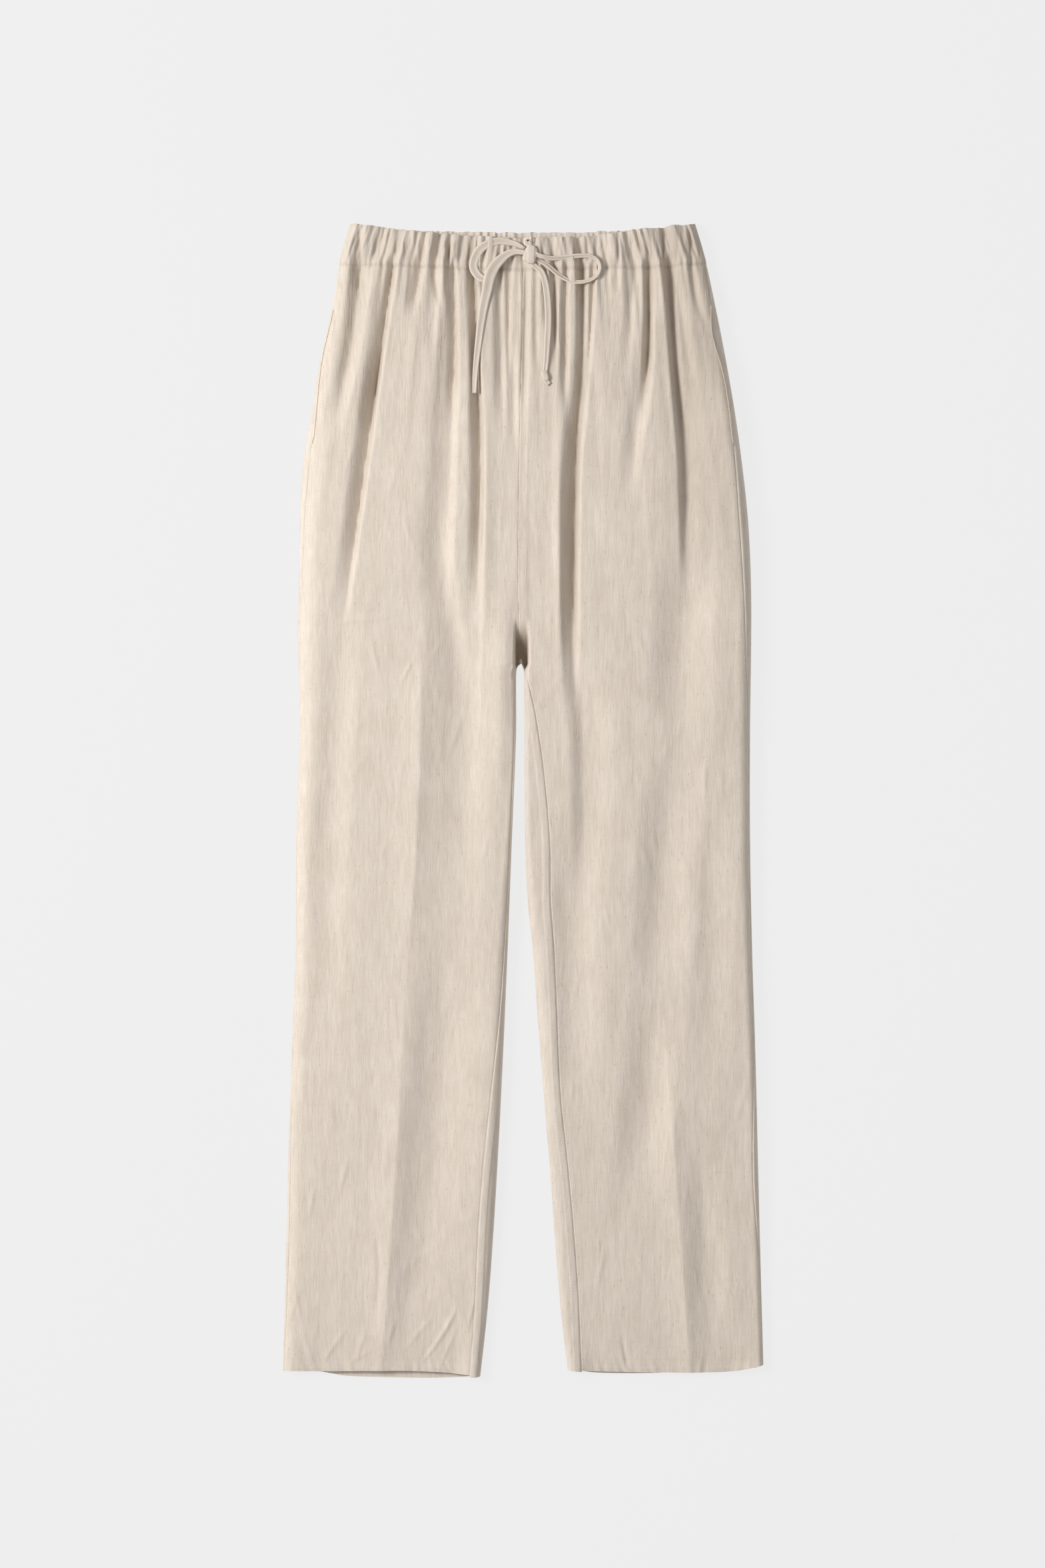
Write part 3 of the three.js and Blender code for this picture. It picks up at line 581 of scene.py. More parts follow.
def shell(outer, wall, facing):
    """The points and faces of a closed thin wall: a net, and the same net sunk by the wall's thickness."""
    rows, columns = outer.shape[:2]
    inner = outer - net_normals(outer) * (wall * facing)[..., None]
    count = rows * columns
    faces = grid_faces(rows, columns)
    index = np.arange(count).reshape(rows, columns)
    rim = np.concatenate([index[0, :-1], index[:-1, -1], index[-1, :0:-1], index[:0:-1, 0]])
    ahead = np.roll(rim, -1)
    edge = np.stack([rim, rim + count, ahead + count, ahead], axis=-1)
    faces = np.concatenate([faces, faces[:, ::-1] + count, edge])
    if facing < 0:
        faces = faces[:, ::-1]
    return np.concatenate([outer.reshape(-1, 3), inner.reshape(-1, 3)]), faces.tolist()


def cloth_place(x, height, cloth, stretch=1):
    """Each point's place in its cloth, in metres. Each cloth has its own number, so none repeats another."""
    return np.stack([x * MM * stretch, height * MM, np.full_like(x, cloth)], axis=-1)


def run_along(points):
    """How far along a line each of its points is."""
    return np.concatenate([[0], np.cumsum(np.linalg.norm(np.diff(points, axis=0), axis=1))])


def cloth_piece(name, outer, wall, facing, thread, finish, shade=None):
    """A panel: a thin closed wall with its cloth's own coordinates."""
    points, faces = shell(outer, wall * MM, facing)
    thread = thread.reshape(-1, 3)
    shade = None if shade is None else np.tile(shade.ravel(), 2)
    made = piece(name, points, faces, finish, np.concatenate([thread, thread]), shade)
    made.data.set_sharp_from_angle(angle=math.radians(60))
    return made


# ---------------------------------------------------------------- the shape of the legs

# 1 towards +X, from the wearer's right side to the middle, and -1 on the other hand.
INWARD = {"right": 1, "left": -1}
SEEDS = {"right": 11, "left": 23}


def section(hand, height):
    """What one leg's section needs at each height."""
    crown = read(LOFT, "height", "crown", height)
    edge = read(LOFT, "height", "edge", height)
    dive = ease((CROTCH - height) / (CROTCH - FORK))
    below = read(INNER_EDGES, "height", hand, height)
    inner = np.where(height <= FORK, below, read(CENTRE, "height", "x", height))
    parted = ease((FORK - height) / 26)
    lifted = ease((height - THIGH_LIFT["from"]) / THIGH_LIFT["reach"])
    low = edge + THIGH_LIFT["most"] * lifted * ease((FORK - 2 - height) / 16)
    hips = ease((height - HIP_ROUND["from"]) / HIP_ROUND["reach"])
    grooved = ease((CROTCH + 8 - height) / 12) * (1 - ease((FORK - height) / 8))
    return {
        "crown": crown,
        "edge": edge,
        "low": low,
        "dive": dive,
        "inner": inner,
        "side": read(SIDES, "height", hand, height),
        "inner_edge": crown + (low - crown) * dive,
        "side_round": (SIDE_ROUND[hand] + HIP_ROUND[hand] * hips) * (crown - edge),
        "inner_round": GROOVE_ROUND + (INNER_ROUND * (crown - low) - GROOVE_ROUND) * parted,
        "floor": np.maximum((inner - GROOVE_EDGES[hand]) * INWARD[hand], 0) * grooved,
    }


def seam_at_side(hand, height):
    side = read(SIDES, "height", hand, height)
    return side + INWARD[hand] * read(SIDE_WRAP, "height", hand, height)


def seam_at_inside(hand, height):
    inner = section(hand, height)["inner"]
    wrap = np.where(height <= FORK, read(INSEAM_WRAP, "height", hand, height), 0)
    return inner - INWARD[hand] * wrap


def fold_depth(x, height):
    """How deep the folds of the front are at a place, and the painted shade inside the steep ones."""
    depth = np.zeros(np.broadcast(x, height).shape)
    dark = np.zeros_like(depth)
    for top, foot, x_top, x_mid, x_foot, before, after, deep, sharp in zip(*FOLDS.values()):
        run = (top - height) / (top - foot)
        middle = (
            x_top * (1 - run) * (1 - 2 * run) + x_mid * 4 * run * (1 - run) + x_foot * run * (2 * run - 1)
        )
        start = FOLD_ENDS["at_waist" if top > WAIST else "start"]
        ends = ease(run / start) * ease((1 - run) / FOLD_ENDS["foot"])
        fold = ends * bump_across(x - middle, before, after, sharp)
        depth += deep * fold
        # Painted shade: the narrower and deeper a fold, the darker its colour is painted.
        dark += FOLD_PAINTED_SHADE * np.clip(deep / before - 0.2, 0, 0.6) * max(deep, 0) * fold
    return depth, np.clip(dark, 0, 0.8)


def cross_crease(x, height):
    """The height of the packing creases at a place."""
    rise = np.zeros(np.broadcast(x, height).shape)
    for x_start, x_end, low, high, width, depth in zip(*CROSS_CREASES.values()):
        run = (x - x_start) / (x_end - x_start)
        line = low + (high - low) * run + 1.2 * np.sin(6 * run)
        ends = ease(run / 0.3) * ease((1 - run) / 0.3)
        rise += depth * ends * bump_across(height - line, width, width * 1.8, 0.7)
    return rise


def small_creases(seed, x, height):
    """Short shallow creases that lie at all angles over the legs, from washing and packing."""
    draw = np.random.default_rng(seed)
    rise = np.zeros(np.broadcast(x, height).shape)
    for _ in range(SMALL_CREASES):
        middle_x, middle_height = draw.uniform(-215, 215), draw.uniform(15, 900)
        angle = math.radians(draw.choice(CREASE_ANGLES) + draw.uniform(-12, 12))
        long, width, depth = [draw.uniform(*span) for span in CREASE_SIZES.values()]
        away_x, away_height = x - middle_x, height - middle_height
        along = (away_x * math.cos(angle) + away_height * math.sin(angle)) / long
        across = away_height * math.cos(angle) - away_x * math.sin(angle) + 1.5 * along**2
        near = np.abs(along) < 1
        rise += np.where(near, (1 - along**2) ** 2, 0) * depth * bump_across(across, width, width * 2, 0.5)
    return rise


def crumple(seed, x, height):
    """The slight unevenness of washed linen, longer along the legs than across them."""
    rows = enumerate(zip(*CRUMPLES.values()))
    return sum(depth * patches(seed + i, x / across, height / along) for i, (depth, across, along) in rows)


def gathers(x, height):
    """The gathers over the elastic. They fan out below its stitching, and fade at uneven lengths."""
    down = WAIST - height
    drift = x / (1 + np.where(down < 0, 0.0019, 0.00095) * down)
    level = np.zeros_like(drift)
    fine_reach = 34 + 22 * patches(3, drift / 8, level)
    broad_reach = 95 + 60 * patches(4, drift / 15, level)
    fall = np.maximum(down, 0)
    fine = 2.1 * patches(5, drift / 3.7, height / 60) * np.exp(-fall / fine_reach)
    broad = 3.2 * patches(6, drift / 7.4, height / 150 + 9) * np.exp(-fall / broad_reach)
    tiny = 0.35 * patches(7, drift / 1.9, height / 9) * np.exp(-fall / 9)
    drawn_in = 1 + 0.7 * ease((6 - down) / 20)
    return (fine + tiny) * drawn_in + broad


def hem_relief(x, height, seed):
    """The turned hem: a thicker strip with a stitched top edge, roped by its sewing."""
    strip = ease((HEM_DEPTH + 0.8 - height) / 1.6)
    stitched = 0.45 * bump_across(height - HEM_DEPTH + 1.6, 2, 2)
    lean = 0.9 * patches(seed + 6, x / 60, np.zeros_like(x)) + 0.3
    roping = patches(seed + 7, (x + lean * height) / 4.3, np.zeros_like(x) + 0.5)
    reach = bump_across(height - HEM_DEPTH * 0.55, 12, 20)
    rolled = 0.8 * (1 - quarter_round(height / 1.8))
    return 0.55 * strip - stitched - rolled + 0.62 * roping * reach


def open_mouth(height):
    """1 along a pocket's mouth, and 0 above and below it."""
    return ease((height - MOUTH["foot"]) / 8) * ease((MOUTH["top"] - height) / 8)


def fell(away, width):
    """A flat-felled seam: a raised strip beside its line, which dips where it is sewn."""
    strip = ease(away / 0.9) * ease((width - away) / 0.9)
    return FELL["rise"] * strip - 0.35 * np.exp(-((away / 0.8) ** 2))


def seam_relief(hand, x, height, seed):
    """The felled seams of one leg, with the puckers that their sewing draws."""
    inward = INWARD[hand]
    past_side = (seam_at_side(hand, height) - x) * inward
    past_inside = (x - seam_at_inside(hand, height)) * inward
    below = ease((FORK - 6 - height) / 20)
    sewn_shut = 1 - open_mouth(height)
    relief = fell(past_side, FELL["side"]) * sewn_shut + fell(past_inside, FELL["inside"]) * below
    if hand == "left":
        past_centre = x - read(CENTRE, "height", "x", height)
        relief = relief + fell(past_centre, FELL["centre"]) * ease((height - CROTCH + 26) / 30)
    pucker = patches(seed + 8, x / 30, height / 5.2)
    near = np.exp(-np.abs(past_side) / 6) + np.exp(-np.abs(past_inside) / 6) * 0.8
    return relief + 0.2 * pucker * near


def at_casing(x, height):
    """1 on the stitching under the waistband, and 0 a few millimetres from it."""
    return np.exp(-(((read(CASING_LINE, "x", "height", x) - height) / STITCH_REACH) ** 2))


def top_surface(hand, x, height):
    """The height over the ground of the upper outer surface of one leg."""
    s = section(hand, height)
    inward = INWARD[hand]
    seed = SEEDS[hand]
    from_side = (x - s["side"]) * inward
    from_inner = (s["inner"] - x) * inward
    over_side = s["edge"] + (s["crown"] - s["edge"]) * quarter_round(from_side / s["side_round"])
    climb = quarter_round((from_inner - s["floor"]) / s["inner_round"])
    over_inner = s["inner_edge"] + (s["crown"] - s["inner_edge"]) * climb
    near_inner = 1 - s["dive"] * (1 - ease(from_inner / 16))
    near_side = ease((from_side - 1) / 15)
    loose = crumple(seed, x, height) + gathers(x, height) + cross_crease(x, height)
    loose = loose + small_creases(seed, x, height)
    folds = fold_depth(x, height)[0] * near_side * near_inner - loose * near_side * (0.3 + 0.7 * near_inner)
    relief = seam_relief(hand, x, height, seed) + hem_relief(x, height, seed)
    relief = relief - STITCH_DIP * at_casing(x, height)
    droop = HEM_DROOP * np.exp(-np.maximum(height - 4, 0) / 26)
    droop = droop * ease((from_side - 4) / 34) * ease((from_inner - 4) / 24)
    return np.minimum(over_side, over_inner) - folds + relief - droop


def settled(layer, x, height):
    """The hem line and the stitching under the waistband draw the rows near them up or down."""
    hem_pull = read(HEM_LINE, "x", layer, x) * (1 - ease(height / HEM_PULL_REACH))
    waist_pull = read(CASING_LINE, "x", "height", x) - WAIST
    return height + hem_pull + waist_pull * ease(1 - (WAIST - height) / WAIST_PULL_REACH)


def spaced(*stretches):
    """Rows from the hem to the waist: each stretch is its top and the spacing of its rows."""
    levels = [0.0]
    for top, spacing in stretches:
        count = max(1, round((top - levels[-1]) / spacing))
        levels.extend(np.linspace(levels[-1], top, count + 1)[1:].tolist())
    return np.array(levels)


# ---------------------------------------------------------------- panels

FRONT_ROWS = spaced(
    (3, 0.75),
    (20, 1.7),
    (60, 3),
    (FORK - 16, 4.8),
    (FORK, 0.9),
    (FORK + 0.2, 0.2),
    (CROTCH + 10, 2),
    (930, 4.4),
    (WAIST - 6, 2.8),
    (WAIST, 0.9),
)
BACK_ROWS = spaced((20, 2.5), (FORK - 16, 6), (FORK, 0.9), (FORK + 0.2, 0.2), (FORK + 30, 2.8), (WAIST, 8))
FRONT_BENDS = 18  # columns in each rounded edge of a front
FRONT_SPAN = 128  # and in the span between them
BACK_CELLS = {"over_side": 10, "round_side": 9, "ground": 24, "round_inner": 9, "over_inner": 22}


def front_columns(hand, height):
    """The X of each column of a front's net, from the side seam to the inseam or the centre front."""
    s = section(hand, height)
    inward = INWARD[hand]
    bends = 1 - np.cos(np.linspace(0, np.pi / 2, FRONT_BENDS + 1))
    start = seam_at_side(hand, height)
    end = seam_at_inside(hand, height)
    from_side = start + inward * s["side_round"] * bends[-1]
    inner_reach = s["inner_round"] + s["floor"]
    from_inner = end - inward * inner_reach * bends[-1]
    shares = np.linspace(0, 1, FRONT_SPAN + 1)[1:-1]
    side_x = start[:, None] + inward * s["side_round"][:, None] * bends
    inner_x = end[:, None] - inward * inner_reach[:, None] * bends[::-1]
    span_x = from_side[:, None] + (from_inner - from_side)[:, None] * shares
    return np.concatenate([side_x, span_x, inner_x], axis=1)


def columns_at(columns, hand, heights):
    """A net's X where each column has a height of its own."""
    places = [columns(hand, heights[:, c])[:, c] for c in range(heights.shape[1])]
    return np.stack(places, axis=1)


def gathered_shade(x, height):
    """The painted shade among the crowded gathers round the waist, and more on the wearer's left hip, which
    slopes away from the lamp.
    """
    crowded = ease((height - 860) / 130) * (0.8 + 0.3 * patches(41, x / 9, height / 50))
    left_hip_shade = ease((x - 112) / 24) * ease((height - 700) / 130)
    return HIP_PAINTED_SHADE * crowded + 0.09 * left_hip_shade


def front_shade(hand, x, height):
    """The painted shade inside its steep folds, among the gathers round the waist, along the casing's
    stitching and in the groove at the crotch.
    """
    s = section(hand, height)
    from_side = (x - s["side"]) * INWARD[hand]
    from_inner = (s["inner"] - x) * INWARD[hand]
    painted_fold_shade = fold_depth(x, height)[1] * ease((from_side - 1) / 15)
    in_groove = ease((s["floor"] + 1.6 - from_inner) / 2.4) * ease((CROTCH - 3 - height) / 24)
    above_fork = ease((height - FORK + 16) / 12)
    painted_waist_shade = gathered_shade(x, height) + STITCH_PAINTED_SHADE * at_casing(x, height)
    return np.maximum(painted_fold_shade + painted_waist_shade, in_groove * above_fork * GROOVE_PAINTED_SHADE)


def front_panel(hand):
    """One front, from the side seam over the leg to the inseam and the centre front."""
    inward = INWARD[hand]
    level = np.repeat(FRONT_ROWS[:, None], 2 * FRONT_BENDS + FRONT_SPAN + 1, axis=1)
    height = settled("front", front_columns(hand, FRONT_ROWS), level)
    x = columns_at(front_columns, hand, height)
    mouth_height = level[:, 0]
    ends = ease((mouth_height - MOUTH["foot"]) / 12) * ease((MOUTH["top"] - mouth_height) / 16)
    agape = 0.3 + 0.7 * ease((958 - mouth_height) / 46)
    rows_open = MOUTH_GAP * ends * agape
    x[:, 0] += inward * rows_open
    x[:, 1] = np.where(inward * (x[:, 1] - x[:, 0]) > 0.05, x[:, 1], x[:, 0] + inward * 0.05)
    z = top_surface(hand, x, height)
    wall = np.where(level < HEM_DEPTH, HEM_WALL, CLOTH)
    return cloth_piece(
        f"front_{hand}_cloth",
        metres(x, height, z),
        wall,
        inward,
        cloth_place(x, height, SEEDS[hand] * 0.1),
        FRONT_LINEN,
        front_shade(hand, x, height),
    )


def inner_lip(hand, height):
    """The X and Z of a back's inner edge, which sinks to the ground above the fork."""
    s = section(hand, height)
    lip = s["inner"] - INWARD[hand] * np.where(height <= FORK, 0, FORK_WRAP)
    return lip, s["low"] * (1 - ease((height - FORK) / 30))


def back_line(hand, height):
    """X and Z of a back's section: down round the side, along the ground, up to the inseam or centre back."""
    inward = INWARD[hand]
    cuts = np.cumsum(list(BACK_CELLS.values()))[:-1]
    over_side, round_side, ground, round_inner, over_inner = np.split(height, cuts, axis=1)

    share = np.linspace(0, 1, BACK_CELLS["over_side"], endpoint=False)
    seam = seam_at_side(hand, over_side)
    under_front = inward * MOUTH_UNDERLAP * open_mouth(over_side)
    x_over = seam + under_front + (read(SIDES, "height", hand, over_side) - seam - under_front) * share
    past_seam = (seam - x_over) * inward
    sunk = 1.1 * ease((6 - past_seam) / 5) + 1.3 * ease((-past_seam - 1) / 1.2)
    z_over = top_surface(hand, x_over, over_side) - sunk * open_mouth(over_side)

    angle = np.linspace(0, np.pi / 2, BACK_CELLS["round_side"])
    s = section(hand, round_side)
    x_side = s["side"] + inward * UNDER_ROUND * (1 - np.cos(angle))
    z_side = s["edge"] * (1 - np.sin(angle))

    lip, rise = inner_lip(hand, round_inner)
    x_inner = lip - inward * UNDER_ROUND * (1 - np.cos(angle[::-1]))
    z_inner = rise * (1 - np.sin(angle[::-1]))

    share = (np.arange(BACK_CELLS["ground"]) + 1) / (BACK_CELLS["ground"] + 1)
    x_ground = x_side[:, -1:] + (x_inner[:, :1] - x_side[:, -1:]) * share
    z_ground = np.zeros_like(ground)

    share = (np.arange(BACK_CELLS["over_inner"]) + 1) / BACK_CELLS["over_inner"]
    forked = over_inner <= FORK
    lip, rise = inner_lip(hand, over_inner)
    edge = section(hand, over_inner)["inner"]
    x_wrap = edge + (seam_at_inside(hand, over_inner) - edge) * share
    x_wrap = np.where(forked, x_wrap, lip + inward * FORK_WRAP * share)
    z_wrap = np.where(forked, top_surface(hand, x_wrap, over_inner), rise)

    x = np.concatenate([x_over, x_side, x_ground, x_inner, x_wrap], axis=1)
    z = np.concatenate([z_over, z_side, z_ground, z_inner, z_wrap], axis=1)
    return x, z


def back_panel(hand):
    """One back, which comes round both edges onto the top of the leg."""
    columns = sum(BACK_CELLS.values())
    level = np.repeat(BACK_ROWS[:, None], columns, axis=1)
    height = settled("back", back_line(hand, level)[0], level)
    x, z = back_line(hand, height)
    wall = np.where(level < HEM_DEPTH, HEM_WALL, CLOTH)
    thread = cloth_place(x, height, SEEDS[hand] * 0.1 + 3)
    return cloth_piece(
        f"back_{hand}_cloth", metres(x, height, z), wall, -INWARD[hand], thread, BACK_LINEN
    )


def pocket_bag(hand):
    """A pocket's bag, flat between the front and the back."""
    inward = INWARD[hand]
    rows, columns = 40, 26
    down = np.linspace(0, 1, rows)
    height = MOUTH["top"] + (POCKET["foot"] - MOUTH["top"]) * down
    side = read(SIDES, "height", hand, np.maximum(height, MOUTH["foot"])) + inward * POCKET["inset"]
    deepest = side[-1] + inward * POCKET["reach"]
    widest = (deepest - side) * inward
    opening = POCKET["corner"] + (widest - POCKET["corner"]) * ease(down / 0.55)
    foot_curve = POCKET["corner"] * (1 - quarter_round((height - POCKET["foot"]) / POCKET["corner"]))
    low = side + inward * foot_curve
    high = side + inward * np.maximum(opening - foot_curve, foot_curve + 6)
    share = np.linspace(0, 1, columns)
    x = low[:, None] + (high - low)[:, None] * share
    y = np.repeat(height[:, None], columns, axis=1)
    z = 2.6 + 0.15 * patches(SEEDS[hand] + 60, x / 18, y / 22)
    thread = cloth_place(x, y, 7)
    wall = np.full_like(x, POCKETING)
    return cloth_piece(
        f"pocket_bag_{hand}_cloth", metres(x, y, z), wall, -inward, thread, POCKET_LINEN
    )


# ---------------------------------------------------------------- waistband

BAND_COLUMNS = 400
GATHERED = 1.3  # how much wider the band's cloth is than the band
BAND_SHARES = np.concatenate([[0, 0.02, 0.042, 0.066, 0.094], np.linspace(0.13, 1, 14)])


def pleat_depth(x, share):
    """How deep the band's pleats are at a place across it."""
    depth = np.zeros(np.broadcast(x, share).shape)
    for x_low, x_high, before, after, deep in zip(*PLEATS.values()):
        middle = x_low + (x_high - x_low) * share
        ends = 1 - 0.55 * ease((share - 0.35) / 0.65)
        depth += 1.35 * deep * ends * bump_across(x - middle, before, after, 0.3)
    return depth


def band_ripples(x, share, seed):
    """The small ripples between the gathers of the band."""
    return 0.6 * patches(seed, x / 2.6, share * 1.3) + 0.14 * patches(seed + 1, x / 1.5, share * 3)


def band_net(top_line, share):
    """X and height of the band's net: its rows run from the stitching to the top edge."""
    nominal = WAIST + (LENGTH - WAIST) * share
    right = read(SIDES, "height", "right", nominal)
    left = read(SIDES, "height", "left", nominal)
    crowded = 0.5 * (1 - np.cos(np.linspace(0, np.pi, BAND_COLUMNS)))
    across = crowded * 0.25 + np.linspace(0, 1, BAND_COLUMNS) * 0.75
    x = right[:, None] + (left - right)[:, None] * across
    low = read(CASING_LINE, "x", "height", x)
    scallop = 0.75 * patches(33, x / 4.6, np.zeros_like(x)) * share[:, None] ** 3
    height = low + (read(top_line, "x", "height", x) + scallop - low) * share[:, None]
    right = read(SIDES, "height", "right", height)
    left = read(SIDES, "height", "left", height)
    x = right + (left - right) * across
    return x, height, np.minimum(x - right, left - x)


def front_band_height(from_end):
    """The height of the front band over the ground, which falls to its lip at both ends."""
    return BAND_LIP + (BAND_CROWN - BAND_LIP) * quarter_round(from_end / BAND_ROUND)


def front_band():
    """The front half of the casing, gathered over its elastic."""
    x, height, from_end = band_net(FRONT_TOP_LINE, BAND_SHARES)
    s = BAND_SHARES[:, None]
    inside = ease((from_end - 1) / 8)
    rolled = 1.6 * (1 - quarter_round((1 - s) / 0.14))
    ruffle = (gathers(x, height) + band_ripples(x, s, 71) - pleat_depth(x, s)) * inside
    hole = np.hypot((x - EYELET["x"] + 0.4) / 1.9, (height - EYELET["height"]) / 1.5)
    pit = 5 * ease((1.35 - hole) / 0.6)
    free = front_band_height(from_end) + 0.5 - rolled + ruffle - pit
    sewn = read(CASING_LINE, "x", "height", x)
    on_right = x < read(CENTRE, "height", "x", WAIST)
    at_stitching = np.where(on_right, top_surface("right", x, sewn), top_surface("left", x, sewn))
    let_go = ease((s - 0.02) / 0.36)
    at_stitching = at_stitching + STITCH_DIP * (1 - at_casing(x, height))
    z = at_stitching + (free - at_stitching) * let_go
    # Painted shade: in the band's pleats and gathers, carried on from the folds and gathers below the
    # stitching, inside the eyelet's hole and along the casing's stitching.
    below = fold_depth(x, sewn)[1] + gathered_shade(x, sewn)
    painted_pleat_shade = np.clip(pleat_depth(x, s) / 6 - 0.1, 0, 0.5) * inside
    shade = (painted_pleat_shade + 1.6 * gathered_shade(x, sewn)) * let_go + below * (1 - let_go)
    shade = shade + ease((1.2 - hole) / 0.4) + STITCH_PAINTED_SHADE * at_casing(x, height)
    return cloth_piece(
        "front_band_cloth",
        metres(x, height, z),
        np.full_like(x, BAND_WALL),
        1,
        cloth_place(x, height, 5, GATHERED),
        BAND_LINEN_WITH_PAINTED_SHADE,
        np.clip(shade, 0, 1),
    )


def back_band():
    """The back half of the casing, flat on the ground, with its gathers on the face towards the waist."""
    x, height, from_end = band_net(BACK_TOP_LINE, BAND_SHARES)
    s = BAND_SHARES[:, None]
    bend = quarter_round(from_end / UNDER_ROUND)
    ripples = (0.9 + 2.4 * band_ripples(x * 1.1, s * 0.4, 83)) * ease((from_end - UNDER_ROUND) / 12)
    rolled = 1.0 * (1 - quarter_round((1 - s) / 0.12))
    outer = metres(x, height, BAND_LIP * (1 - bend))
    wall = BAND_WALL + ripples - rolled
    thread = cloth_place(x, height, 6, GATHERED)
    return cloth_piece("back_band_cloth", outer, wall, -1, thread, BAND_LINEN_WITH_PAINTED_SHADE)


# ---------------------------------------------------------------- stitching


def stitches(name, lines, finish):
    """Small raised stitches along lines on the cloth, in one mesh. A line is its points, in metres."""
    points, faces = [], []
    long, wide, high = STITCH["long"] * MM / 2, STITCH["wide"] * MM / 2, STITCH["high"] * MM
    pitch = STITCH["pitch"] * MM
    lift = np.array([0, 0, high])
    around = [1, 2, 3, 5]
    for line in lines:
        run = run_along(line)
        for at in np.arange(pitch / 2, run[-1], pitch):
            middle = np.array([np.interp(at, run, line[:, i]) for i in range(3)])
            ahead = np.array([np.interp(at + pitch / 4, run, line[:, i]) for i in range(3)])
            along = ahead - middle
            along /= max(np.linalg.norm(along), 1e-9)
            beside = np.cross([0, 0, 1], along)
            start = len(points)
            points += [
                middle - along * long - lift,
                middle - beside * wide - lift * 0.4,
                middle + lift,
                middle + beside * wide - lift * 0.4,
                middle + along * long - lift,
                middle - lift * 2,
            ]
            for i, j in zip(around, around[1:] + around[:1]):
                faces.append([start, start + i, start + j])
                faces.append([start + 4, start + j, start + i])
    piece(name, np.array(points), faces, finish)


def line_on_leg(hand, layer, x, height):
    """Points on the upper surface of a leg."""
    height = settled(layer, x, height)
    return metres(x, height, top_surface(hand, x, height) + STITCH["over"])


def leg_stitching(hand):
    """The hem, side, inseam and pocket stitching of one leg."""
    inward = INWARD[hand]
    up = np.arange(FORK - 30, 20, -2.0)
    sides = np.arange(MOUTH["foot"] - 8, 20, -2.0)
    low = np.arange(HEM_DEPTH + 236, 20, -2.0)
    slit = np.arange(MOUTH["top"] + 4, MOUTH["foot"] - 4, -2.0)
    hem_x = np.linspace(SIDES[hand][0] + inward * 5, INNER_EDGES[hand][0] - inward * 4, 120)
    hem = np.full_like(hem_x, HEM_DEPTH - 1.6)
    lines = [
        line_on_leg(hand, "front", hem_x, hem),
        line_on_leg(hand, "front", seam_at_side(hand, sides) + inward * 1.4, sides),
        line_on_leg(hand, "front", seam_at_inside(hand, up) - inward * 1.4, up),
        line_on_leg(hand, "back", seam_at_inside(hand, low) + inward * (FELL["inside"] - 1.3), low),
        line_on_leg(hand, "front", seam_at_side(hand, slit) + inward * 4.6, slit),
    ]
    stitches(f"leg_stitches_{hand}", lines, THREAD)


def centre_stitching():
    """The two rows of stitches on the centre front's felled seam."""
    up = np.arange(WAIST - 3, CROTCH - 4, -2.0)
    seam = read(CENTRE, "height", "x", up)
    lines = [line_on_leg("left", "front", seam + away, up) for away in (1.6, FELL["centre"] - 1.6)]
    stitches("centre_stitches", lines, THREAD)


# ---------------------------------------------------------------- drawstring

TIE_DIAMETER = 0.006
TIE_THICK = 0.0021
TIE_STEP = 0.0009

